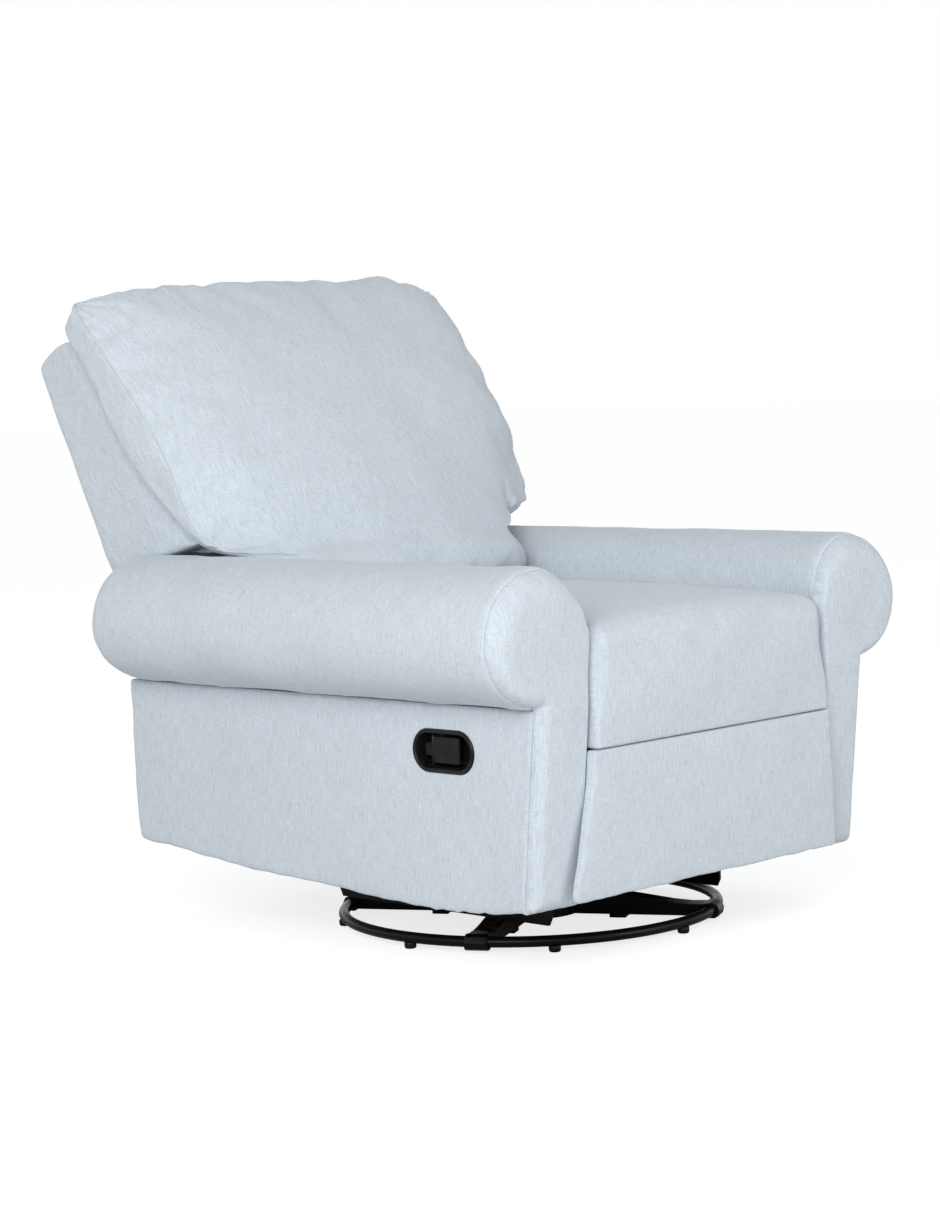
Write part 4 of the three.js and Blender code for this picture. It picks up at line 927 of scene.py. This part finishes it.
def make_arm_front(sizes, side, s):
    """Front facing: rows across the arm at each height, its face a quarter round near the outline."""
    circle = np.linspace(-np.pi / 2, np.pi / 2, 46)
    head = ROLL_Z + HEAD_R * np.sin(circle) * np.where(circle < 0, ROLL_LOW, 1)
    foot = POST_LOW + 0.022 * (1 - np.cos(np.linspace(0, np.pi / 2, 7)))
    rows = np.concatenate([foot, np.linspace(POST_LOW + 0.030, head[0], 34)[:-1], head])
    us = np.sin(np.linspace(-np.pi / 2, np.pi / 2, 45))
    u, row, w, quads, _ = lattice(us, np.arange(len(rows)), np.arange(2))
    z = rows[row]
    left, right = arm_edges(z)
    pinch = 0.014 * (1 - np.sqrt(1 - (1 - np.clip((z - POST_LOW) / 0.014, 0, 1)) ** 2))
    left, right = left + pinch * 0.8, right - pinch * 0.8
    x = (left + right) / 2 + (right - left) / 2 * u
    valley = 0.0036 * (u == us[-1]) * fade(z, PANEL_TOP, PANEL_TOP - 0.012)
    valley = valley * fade(z, POST_LOW, POST_LOW + 0.01)

    inside = from_outline(x, z, rows)
    on_head = fade(z, 0.42, 0.53)
    inner_side = fade(x - (left + right) / 2, 0.01, -0.03)
    t = np.clip(inside / (0.017 - 0.011 * inner_side), 0, 1)
    fall = 0.0195 * (1 - np.sqrt(np.clip(1 - (1 - t) ** 2, 0, 1)))
    wide = HEAD_ROUND - np.sqrt(HEAD_ROUND**2 - np.clip(HEAD_ROUND - HEAD_IN - inside, 0, None) ** 2)
    fall = fall + (wide - fall) * on_head * (1 - inner_side * fade(z, 0.58, 0.52))
    dome = -0.0045 * (1 - np.exp(-inside / 0.03)) * on_head - 0.002 * (1 - np.exp(-inside / 0.02))
    pull = gathers(z + 1.3 * x, inside, 0.034, 0.016, 81 + int(s)) * fade(inside, 0.0, 0.008)
    soft = 0.0010 * ripple(x, z, 0.09, 85 + int(s))
    lean = front_lean(z)
    face = FACE_Y + lean + fall + dome + sizes.pucker * (0.12 + 0.23 * on_head) * pull + soft * t
    y = np.where(w == 1, np.minimum(face, SEAM_Y + lean + 0.0005), SEAM_Y + lean + 0.0012)
    points = np.stack([s * (x - valley), at_axis(y), z], -1)
    piece = make_cloth(f"arm_front_cover_{side}", points, quads, np.stack([x, z], -1)[quads])
    dress(piece, "carriage", f"arm_front_{side}", fill=0.9)


# ------------------------------------------------------------------ panels
LEVER_LOW, LEVER_HIGH = span("lever_cup")
LEVER_Y, LEVER_Z = (LEVER_LOW[1] + LEVER_HIGH[1]) / 2, (LEVER_LOW[2] + LEVER_HIGH[2]) / 2
LEVER_LONG, LEVER_TALL = LEVER_HIGH[1] - LEVER_LOW[1], LEVER_HIGH[2] - LEVER_LOW[2]
# The side panels' hem, behind the axis and above the floor, and where they end at the rear.
HEM_Y = [-0.376, -0.207, -0.066, 0.100, 0.250, 0.451, 0.522]
HEM_Z = [0.0985, 0.088, 0.090, 0.102, 0.108, 0.128, 0.134]
PANEL_REAR = 0.522


def from_stadium(y, z, length, height):
    """Distance from a stadium outline about the lever's centre, negative inside it."""
    reach = np.clip(y - LEVER_Y, -(length - height) / 2, (length - height) / 2)
    return np.hypot(y - LEVER_Y - reach, z - LEVER_Z) - height / 2


def rear_swell(z):
    """How far the rear walls belly out at a height."""
    return 0.010 * fade(z, 0.10, 0.26)


def make_side_panel(sizes, side, s):
    """Side and rear wall of an arm: a sheet carried along a plan line with a round corner, sunk at the lever.

    Each point stands off the plan line by the sum of soft waves, the seams' grooves and the gathers.
    """
    thick, corner, inner_end = 0.017, 0.012, 0.2915
    seed = int(s)
    lever = side == "right"
    side_y = np.linspace(SEAM_Y + 0.002, PANEL_REAR - corner, 110)[1:]
    rows = np.linspace(0, 1, 46)
    if lever:
        # closer lines round the lever, whose centre is at this share of the wall's height
        centre, hub = LEVER_Y - AXIS_Y, (LEVER_Z - HEM_Z[2]) / (PANEL_TOP - HEM_Z[2])
        near = np.arange(centre - 0.075, centre + 0.075, 0.003)
        side_y = np.concatenate([side_y[side_y < near[0]], near, side_y[side_y > near[-1]]])
        rows = np.unique(np.round(np.concatenate([rows, np.linspace(hub - 0.13, hub + 0.13, 28)]), 5))
    side_y = np.concatenate([SEAM_Y + np.array([0.0004, 0.0010, 0.0020, 0.0034, 0.0052, 0.0074]), side_y])
    rows = np.concatenate([[0, 0.004, 0.011], rows[(rows > 0.018) & (rows <= 1)]])
    bend = np.linspace(0, np.pi / 2, 7)[1:-1]
    rear_x = np.linspace(WALL_X - corner, inner_end, 14)
    side_one, rear_one = np.ones(len(side_y)), np.ones(len(rear_x))
    plan_x = np.concatenate([WALL_X * side_one, WALL_X - corner + corner * np.cos(bend), rear_x])
    plan_y = np.concatenate([side_y, PANEL_REAR - corner + corner * np.sin(bend), PANEL_REAR * rear_one])
    face_x = np.concatenate([side_one, np.cos(bend), 0 * rear_one])
    face_y = np.concatenate([0 * side_one, np.sin(bend), rear_one])

    i, j, k, quads, _ = lattice(np.arange(len(plan_x)), np.arange(len(rows)), np.arange(2))
    x, y = plan_x[i], plan_y[i]
    hem = ripple(np.arange(len(plan_x)) * 0.008, 0 * plan_x, 0.05, 91 + seed)
    low = spline(y, HEM_Y, HEM_Z) + sizes.hem_wave * hem[i]
    z = low + (PANEL_TOP - low) * rows[j]
    walk = run_length(plan_x, plan_y)[i]
    soft = 0.0012 * ripple(walk, z, 0.19, 95 + seed) + 0.0005 * ripple(walk, z, 0.05, 97 + seed)
    from_seam = np.clip(y - SEAM_Y, 0, None)
    groove = -0.0042 * np.exp(-from_seam / 0.0022) + 0.0010 * np.exp(-((from_seam - 0.0074) ** 2) / 0.00002)
    up, down = z - low, PANEL_TOP - z
    tuck = sizes.pucker * 0.30 * gathers(walk, up, 0.040, 0.03, 99 + seed) - 0.0035 * np.exp(-up / 0.003)
    top = sizes.pucker * 0.25 * gathers(walk, down, 0.05, 0.02, 103 + seed) - 0.002 * np.exp(-down / 0.004)
    off = (soft * fade(z, low, low + 0.03) + groove + tuck + top) * k - thick * (1 - k)
    px, py = x + face_x[i] * off, y + face_y[i] * off
    py += front_lean(z) * fade(y, SEAM_Y + 0.12, SEAM_Y)
    py += rear_swell(z) * fade(y, PANEL_REAR - 0.15, PANEL_REAR - 0.02)
    if lever:
        # behind the cup the wall is sunk out of the way, and round it the cloth lies flat
        flat = face_x[i] > 0.5
        rim = 0.010
        away = from_stadium(at_axis(y), z, LEVER_LONG - rim, LEVER_TALL - rim)
        sunk = away < 0.0012
        calm = fade(away, 0.025, 0.0) * flat * k
        px = np.where(sunk, px, px + calm * (WALL_X + 0.0002 - px))
        px = np.where(flat & sunk, np.where(k == 1, 0.343, 0.339), px)
    points = np.stack([s * px, at_axis(py), z], -1)
    piece = make_cloth(f"side_panel_cover_{side}", points, quads, np.stack([walk, z], -1)[quads])
    dress(piece, "carriage", f"side_panel_{side}", levels=0)


def make_arm_cap(side, s):
    """Strip of cloth over the board's rear end, under the roll: a thin rounded block."""
    box = (sorted([s * 0.2895, s * (WALL_X - 0.004)]), (0.300, 0.352), (0.380, 0.3899))
    cap, *_ = make_block(f"arm_cap_{side}", box, 0.003, (12, 8, 2), lambda *axes: np.stack(axes, -1))
    dress(cap, "carriage")


def make_rear_panel(sizes):
    """Rear wall between the arms: a thin rounded block with a wavy hem."""
    low, high = span("rear_panel")
    inner_face = high[1] - 0.020

    def warp(x, y, z):
        """Y moved by the wall's belly, soft waves and gathers above the hem, and the hem's Z by a ripple."""
        back = fade(y, inner_face, high[1])
        fold = gathers(x, z - low[2], 0.045, 0.03, 113)
        soft = back * (0.0012 * ripple(x, z, 0.17, 111) + sizes.pucker * 0.3 * fold)
        hem = 0.0014 * ripple(x, 0 * x, 0.08, 115) * fade(z, low[2] + 0.04, low[2])
        return np.stack([x, y + soft + rear_swell(z), z + hem], -1)

    box = ((low[0], high[0]), (inner_face, high[1]), (low[2], high[2]))
    piece, *_ = make_block("rear_panel_cover", box, 0.004, (60, 2, 24), warp)
    dress(piece, "carriage", "rear_panel")


# ------------------------------------------------------------------ back
def make_back_upper(sizes):
    """The back's wedge: points carried from its rear face to the pillow's by the share of the depth.

    Its long edges are rounded in a box across X, the height and the depth before they are bent into place.
    """
    half = span("back_cover")[1][0]
    length = float(np.linalg.norm(REAR_TOP - REAR_LOW))
    radius, tall, deep = 0.009, 0.5, 0.12
    up_lines = np.concatenate([[0, 0.012, 0.03], np.linspace(0.055, 0.945, 34), [0.965, 0.985, 1.0]])
    ahead_lines = np.concatenate([[0, 0.03, 0.07], np.linspace(0.12, 0.88, 12), [0.93, 0.97, 1.0]])
    u, v, w, quads, side = lattice(lines(-half, half, radius, 40), up_lines, ahead_lines)
    across, up, ahead = rounded(u, v * tall, w * deep, ((-half, half), (0, tall), (0, deep)), radius).T
    up, ahead = np.clip(up / tall, 0, 1), np.clip(ahead / deep, 0, 1)

    share = [0, 0.15, 0.5, 0.9, 1.0]
    rear_s = spline(up, share, [0.240, 0.326, 0.455, 0.585, length + 0.002])
    front_s = spline(up, share, [-0.004, 0.058, 0.205, 0.350, 0.392])
    ry, rz = on_plane(REAR_LOW, REAR_TOP, rear_s, 0)
    fy, fz = on_plane(PILLOW_LOW, PILLOW_TOP, front_s, -0.0006)
    roof = 0.030 * fade(up, 0.90, 1.0) * np.sin(np.pi * ahead) ** 0.8
    y, z = ry + (fy - ry) * ahead, rz + (fz - rz) * ahead + roof
    wing = fade(np.abs(u), half - 0.03, half)
    fold = gathers(0.4 * up + 0.15 * ahead, up * 0.4, 0.022, 0.05, 121) * wing
    swell = 0.0016 * ripple(0.4 * up, 0.2 * ahead, 0.16, 123) * wing + sizes.pucker * 1.3 * fold
    hollow = 0.004 * np.sin(np.pi * ahead) * wing
    x = across + np.sign(across) * (swell - hollow * 0.4)
    x = x * (1 - 0.034 * fade(ahead, 0.55, 1.05))
    belly = 0.006 + 0.003 * (1 - (across / half) ** 4) + 0.0012 * ripple(across, 0.5 * up, 0.2, 125)
    points = np.stack([x, y + (1 - ahead) * belly, z], -1)
    piece = make_cloth("back_cover_upper", points, quads, block_weave(u, v * 0.42, w * 0.13, quads, side))
    dress(piece, "back", "back_cover")


def make_back_tongue():
    """The back's lower part, a thin block along the rear face that runs down between the arms."""
    half = span("back_bracket_left")[0][0] - 0.0001

    def warp(x, s, n):
        """A point s up the rear face and n ahead of it, moved by a soft wave."""
        y, z = on_plane(REAR_LOW, REAR_TOP, s, n)
        return np.stack([x, y + 0.0015 * ripple(x, s, 0.16, 131), z], -1)

    box = ((-half, half), (-0.045, 0.300), (0.0, 0.0395))
    piece, *_ = make_block("back_cover_lower", box, 0.002, (40, 26, 2), warp)
    dress(piece, "back")


def make_back_tuck(side, s):
    """Cloth tucked under a wing, beside the pillow: a wedge over the arm, crumpled on its outer face."""
    front, back, rest = 0.163, 0.300, ROLL_TOP + 0.0005
    inner, outer, tall = 0.255, 0.318, 0.030

    def warp(x, y, z):
        """Z scaled to a roof that falls to the rear, and X pushed by the crumples on the outer face."""
        rise = (z - rest) / tall
        roof = np.maximum(0.0045, 0.018 - 0.29 * (y - 0.190)) + 0.004  # up to the wing and a little into it
        bare = fade(np.abs(x), outer - 0.03, outer)
        crumple = gathers(0.8 * y + 0.9 * z, 0 * y, 0.020, 0.05, 135) + 0.7 * ripple(y, 1.4 * z, 0.013, 137)
        push = bare * (0.0035 * crumple * np.sin(np.pi * np.clip(rise, 0, 1)) - 0.004 * rise)
        return np.stack([x + np.sign(x) * push, y, rest + rise * roof], -1)

    box = (sorted([s * inner, s * outer]), (front, back), (rest, rest + tall))
    piece, *_ = make_block(f"back_tuck_{side}", box, 0.004, (8, 70, 10), warp)
    dress(piece, "back")


# ------------------------------------------------------------------ lever
CUP = (  # the cup's profile: inset from its rim's outline, and depth behind the panel's face
    (0.0330, 0.0245), (0.0200, 0.0245), (0.0125, 0.0245), (0.0098, 0.0237), (0.0086, 0.0215),
    (0.0080, 0.0040), (0.0072, -0.0012), (0.0064, -0.0026), (0.0052, -0.0034), (0.0038, -0.0036),
    (0.0022, -0.0033), (0.0009, -0.0024), (0.0001, -0.0011), (0.0, -0.0003), (0.0004, 0.0004),
    (0.0050, 0.0006), (0.0052, 0.0290),
)


def stadium_ring(x, inset):
    """Ring at an X on the lever's outline, a stadium of two half circles, moved inwards by the inset."""
    turn = np.linspace(0, 2 * np.pi, 96, endpoint=False) + 1e-4
    radius = np.maximum(LEVER_TALL / 2 - inset, 0.00001)
    y = LEVER_Y + np.sign(np.cos(turn)) * (LEVER_LONG - LEVER_TALL) / 2 + radius * np.cos(turn)
    return np.column_stack([np.full(len(turn), x), y, LEVER_Z + radius * np.sin(turn)])


def make_lever():
    """Recessed cup and paddle: a profile carried round a stadium, two soft-edged leaves and a turned pin."""
    face = span("side_panel_right")[0][0]
    rings = np.stack([stadium_ring(face + depth, inset) for inset, depth in CUP])
    dress(make_loft("lever_cup_moulding", rings), "carriage", "lever_cup", slot="black_plastic")
    low, high = span("release_paddle")
    hinge = high[1] - 0.016
    middle = (low[0] + high[0]) / 2

    def leaf(name, y0, y1, half_z, x0, dish):
        """A rounded block whose outer face is hollowed by a dish that is deepest in its middle."""
        def warp(x, y, z):
            """X of the outer face moved by dish times (1 - z^2) times a half sine along Y."""
            along = np.clip((y - y0) / (y1 - y0), 0, 1)
            bow = dish * (1 - ((z - LEVER_Z) / half_z) ** 2) * np.sin(np.pi * along)
            return np.stack([x + bow * (x < middle), y, z], -1)

        box = ((x0, high[0]), (y0, y1), (LEVER_Z - half_z, LEVER_Z + half_z))
        piece, *_ = make_block(name, box, 0.0018, (2, 12, 14), warp)
        return dress(piece, "paddle", slot="black_plastic")

    wide = leaf("release_paddle_leaf", low[1], hinge - 0.0035, 0.020, low[0] - 0.0012, 0.0016)
    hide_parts("release_paddle")
    leaf("release_paddle_tab", hinge - 0.006, high[1], 0.0100, low[0] + 0.0004, 0.0006)
    bevel = 0.0006
    heights = (low[2], low[2] + bevel, high[2] - bevel, high[2])
    rings = turned_rings(middle, hinge, (0.0025 - bevel, 0.0025, 0.0025, 0.0025 - bevel), heights, 24)
    dress(make_loft("release_paddle_pin", rings), "paddle", slot="black_plastic", levels=0)


# ------------------------------------------------------------------ floor ring
GLIDES = 8
GLIDE_RADII = (0.0055, 0.0073, 0.0082, 0.0090, 0.0094, 0.0095, 0.0091, 0.0080)
GLIDE_HEIGHTS = (0.0, 0.0, 0.0005, 0.0018, 0.0045, 0.0085, 0.0098, 0.0102)


def make_floor_ring():
    """Floor ring: a circle of tube radius carried round the ring's circle."""
    tube = (RING_HIGH[2] - RING_LOW[2]) / 2
    turns = (np.linspace(0, 2 * np.pi, count, endpoint=False) for count in (144, 24))
    t, a = np.meshgrid(*turns, indexing="ij")
    reach = RING_HIGH[0] - tube + tube * np.cos(a)
    height = RING_LOW[2] + tube + tube * np.sin(a)
    points = np.stack([reach * np.cos(t), AXIS_Y + reach * np.sin(t), height], -1).reshape(-1, 3)
    closed = np.pad(np.arange(t.size).reshape(t.shape), ((0, 1), (0, 1)), mode="wrap")
    piece = make_mesh("floor_ring_tube", points, *outward(points, cells(closed)))
    dress(piece, "base", "base_ring", slot="black_steel", levels=0)


def make_floor_glides():
    """Floor glides: a turned profile of radius and height about each glide's own axis."""
    for number in range(1, GLIDES + 1):
        x, y, _ = sum(span(f"floor_glide_{number}")) / 2
        piece = make_loft(f"floor_glide_pad_{number}", turned_rings(x, y, GLIDE_RADII, GLIDE_HEIGHTS, 32))
        dress(piece, "base", f"floor_glide_{number}", slot="black_plastic", levels=0)


def paint_frame():
    """Gives every CAD node that still shows the finish of its material slot."""
    slots = {row["node"]: row["material_slot"] for row in frame["record"]["subparts"]}
    for node, piece in frame["nodes"].items():
        piece.data.materials.clear()
        piece.data.materials.append(finish(slots[node]))


# ------------------------------------------------------------------ stage
FLOOR_HALF = 30.0
FLOOR_GLOW, FLOOR_GREY = 0.78, 0.42  # what the camera sees: a white glow, and a grey that takes the shadows
WORLD_LIGHT, WORLD_BACKDROP = 0.50, 1.0  # strength of the light on the piece, and of the white behind it
LAMPS = (  # name, place, target and power
    ("key_lamp", (-4.0, -2.6, 2.35), (0.0, 0.0, 0.5), 148.0),
    ("fill_lamp", (1.4, -4.6, 1.0), (0.0, 0.0, 0.4), 50.0),
)
LAMP_SIZE = 2.8
CAMERA_PLACE = (-3.4485, at_axis(-3.2659), 0.9073)
CAMERA_RIGHT, CAMERA_UP = (0.69714, -0.71602, -0.03613), (0.08621, 0.03370, 0.99570)
CAMERA_AHEAD = (0.71173, 0.69726, -0.08522)
CAMERA_LENS, CAMERA_SENSOR = 88.37, 36.0  # millimetres


def turned_to(right, up, ahead, place):
    """Matrix of an object that looks ahead from a place."""
    columns = np.stack([right, up, -np.array(ahead), place], -1)
    return Matrix([*columns.tolist(), [0, 0, 0, 1]])


def make_floor():
    """Pale floor: diffuse for the light on the piece, and glowing where the camera looks at it."""
    corners = np.array([[-1, -1, 0], [1, -1, 0], [1, 1, 0], [-1, 1, 0]]) * FLOOR_HALF
    floor = make_mesh("floor", corners, np.array([[0, 1, 2, 3]]))
    n = Nodes("pale_floor")
    glow = n.add("ShaderNodeEmission", Color=(1, 1, 1, 1), Strength=FLOOR_GLOW)
    grey = n.add("ShaderNodeBsdfDiffuse", Color=(FLOOR_GREY, FLOOR_GREY, FLOOR_GREY, 1))
    both = n.add("ShaderNodeAddShader")
    n.link(glow.outputs[0], both.inputs[0])
    n.link(grey.outputs[0], both.inputs[1])
    n.end(n.add("ShaderNodeLightPath").outputs["Is Camera Ray"], n.shader, both)
    floor.data.materials.append(n.set(Base_Color=(0.8, 0.8, 0.8, 1), Roughness=0.95, Specular_IOR_Level=0.0))


def make_world():
    """Soft, slightly blue light all round, and plain white where the camera or a reflection sees it."""
    n = Nodes("studio", "worlds")
    bpy.context.scene.world = n.owner
    path = n.add("ShaderNodeLightPath")
    seen = n.add("ShaderNodeMath", operation="MAXIMUM")
    n.link(path.outputs["Is Camera Ray"], seen.inputs[0])
    n.link(path.outputs["Is Glossy Ray"], seen.inputs[1])
    light = n.tree.nodes["Background"]
    light.inputs["Color"].default_value = (0.96, 0.98, 1, 1)
    light.inputs["Strength"].default_value = WORLD_LIGHT
    backdrop = n.add("ShaderNodeBackground", Color=(1, 1, 1, 1), Strength=WORLD_BACKDROP)
    n.end(seen.outputs[0], light, backdrop)


def make_lamps():
    """Round area lamps, each turned towards its target."""
    for name, place, target, power in LAMPS:
        lamp = bpy.data.lights.new(name, "AREA")
        lamp.shape = "DISK"
        lamp.size = LAMP_SIZE
        lamp.energy = power
        lamp.color = (1.0, 0.995, 0.985)
        holder = bpy.data.objects.new(name, lamp)
        bpy.context.scene.collection.objects.link(holder)
        aim = np.array(target) - np.array(place)
        aim /= np.linalg.norm(aim)
        side = np.cross(aim, [0, 0, 1])
        side /= np.linalg.norm(side)
        holder.matrix_world = turned_to(side, np.cross(side, aim), aim, place)


def make_camera():
    """Camera at a little under the back's height, in front and to the handle's side."""
    lens = bpy.data.cameras.new("camera")
    lens.sensor_width, lens.lens = CAMERA_SENSOR, CAMERA_LENS
    camera = bpy.data.objects.new("camera", lens)
    bpy.context.scene.collection.objects.link(camera)
    camera.matrix_world = turned_to(CAMERA_RIGHT, CAMERA_UP, CAMERA_AHEAD, CAMERA_PLACE)
    bpy.context.scene.camera = camera
    bpy.context.scene.view_settings.view_transform = "Standard"


# ------------------------------------------------------------------ operators
class RECLINER_OT_stage(bpy.types.Operator):
    """Add the floor, the lamps and the camera"""

    bl_idname = "recliner.stage"
    bl_label = "Stage"
    bl_options = {"REGISTER", "UNDO"}

    def execute(self, context):
        make_floor()
        make_world()
        make_lamps()
        make_camera()
        return {"FINISHED"}


class RECLINER_OT_frame(bpy.types.Operator):
    """Give the steel, plastic and timber of the frame their finishes"""

    bl_idname = "recliner.frame"
    bl_label = "Frame finishes"
    bl_options = {"REGISTER", "UNDO"}

    def execute(self, context):
        paint_frame()
        return {"FINISHED"}


class RECLINER_OT_floor_ring(bpy.types.Operator):
    """Add the floor ring and its glides"""

    bl_idname = "recliner.floor_ring"
    bl_label = "Floor ring"
    bl_options = {"REGISTER", "UNDO"}

    def execute(self, context):
        make_floor_ring()
        make_floor_glides()
        return {"FINISHED"}


class RECLINER_OT_lever(bpy.types.Operator):
    """Add the footrest's lever: its cup and its paddle"""

    bl_idname = "recliner.lever"
    bl_label = "Lever"
    bl_options = {"REGISTER", "UNDO"}

    def execute(self, context):
        make_lever()
        return {"FINISHED"}


class RECLINER_OT_panels(bpy.types.Operator):
    """Add the covered side and rear panels"""

    bl_idname = "recliner.panels"
    bl_label = "Side and rear panels"
    bl_options = {"REGISTER", "UNDO"}

    def execute(self, context):
        sizes = context.scene.recliner_sizes
        for side, s in SIDES:
            make_side_panel(sizes, side, s)
            make_arm_cap(side, s)
        make_rear_panel(sizes)
        return {"FINISHED"}


class RECLINER_OT_arms(bpy.types.Operator):
    """Add the rolled arms and their front facings"""

    bl_idname = "recliner.arms"
    bl_label = "Arms"
    bl_options = {"REGISTER", "UNDO"}

    def execute(self, context):
        sizes = context.scene.recliner_sizes
        for side, s in SIDES:
            make_arm_roll(sizes, side, s)
            make_arm_front(sizes, side, s)
        return {"FINISHED"}


class RECLINER_OT_seat(bpy.types.Operator):
    """Add the seat cushion and the footrest's pad"""

    bl_idname = "recliner.seat"
    bl_label = "Seat and footrest"
    bl_options = {"REGISTER", "UNDO"}

    def execute(self, context):
        sizes = context.scene.recliner_sizes
        make_seat_cushion(sizes)
        make_footrest_pad(sizes)
        return {"FINISHED"}


class RECLINER_OT_back(bpy.types.Operator):
    """Add the back's cover and its loose pillow"""

    bl_idname = "recliner.back"
    bl_label = "Back and pillow"
    bl_options = {"REGISTER", "UNDO"}

    def execute(self, context):
        sizes = context.scene.recliner_sizes
        make_back_upper(sizes)
        make_back_tongue()
        for side, s in SIDES:
            make_back_tuck(side, s)
        make_back_pillow(sizes)
        return {"FINISHED"}


class RECLINER_PT_panel(bpy.types.Panel):
    """Sizes, colours and pieces of the recliner"""

    bl_label = "Glider recliner"
    bl_idname = "RECLINER_PT_panel"
    bl_space_type = "VIEW_3D"
    bl_region_type = "UI"
    bl_category = "Glider recliner"

    def draw(self, context):
        """Lists every setting, then a button for each operator."""
        for group in (context.scene.recliner_sizes, context.scene.recliner_colours):
            column = self.layout.column()
            for name in group.bl_rna.properties.keys():
                if name not in {"rna_type", "name"}:
                    column.prop(group, name)
        for operator in OPERATORS:
            self.layout.operator(operator.bl_idname)


OPERATORS = (
    RECLINER_OT_stage, RECLINER_OT_frame, RECLINER_OT_floor_ring, RECLINER_OT_lever,
    RECLINER_OT_panels, RECLINER_OT_arms, RECLINER_OT_seat, RECLINER_OT_back,
)
CLASSES = (ReclinerSizes, ReclinerColours, *OPERATORS, RECLINER_PT_panel)


def register():
    """Registers the classes and hangs the settings on the scene."""
    for kind in CLASSES:
        bpy.utils.register_class(kind)
    bpy.types.Scene.recliner_sizes = PointerProperty(type=ReclinerSizes)
    bpy.types.Scene.recliner_colours = PointerProperty(type=ReclinerColours)


def unregister():
    """Takes the settings and the classes away again."""
    del bpy.types.Scene.recliner_colours
    del bpy.types.Scene.recliner_sizes
    for kind in reversed(CLASSES):
        bpy.utils.unregister_class(kind)


def main():
    """Builds every piece in order."""
    register()
    for step in ("stage", "frame", "floor_ring", "lever", "panels", "arms", "seat", "back"):
        getattr(bpy.ops.recliner, step)()


if __name__ == "__main__":
    main()
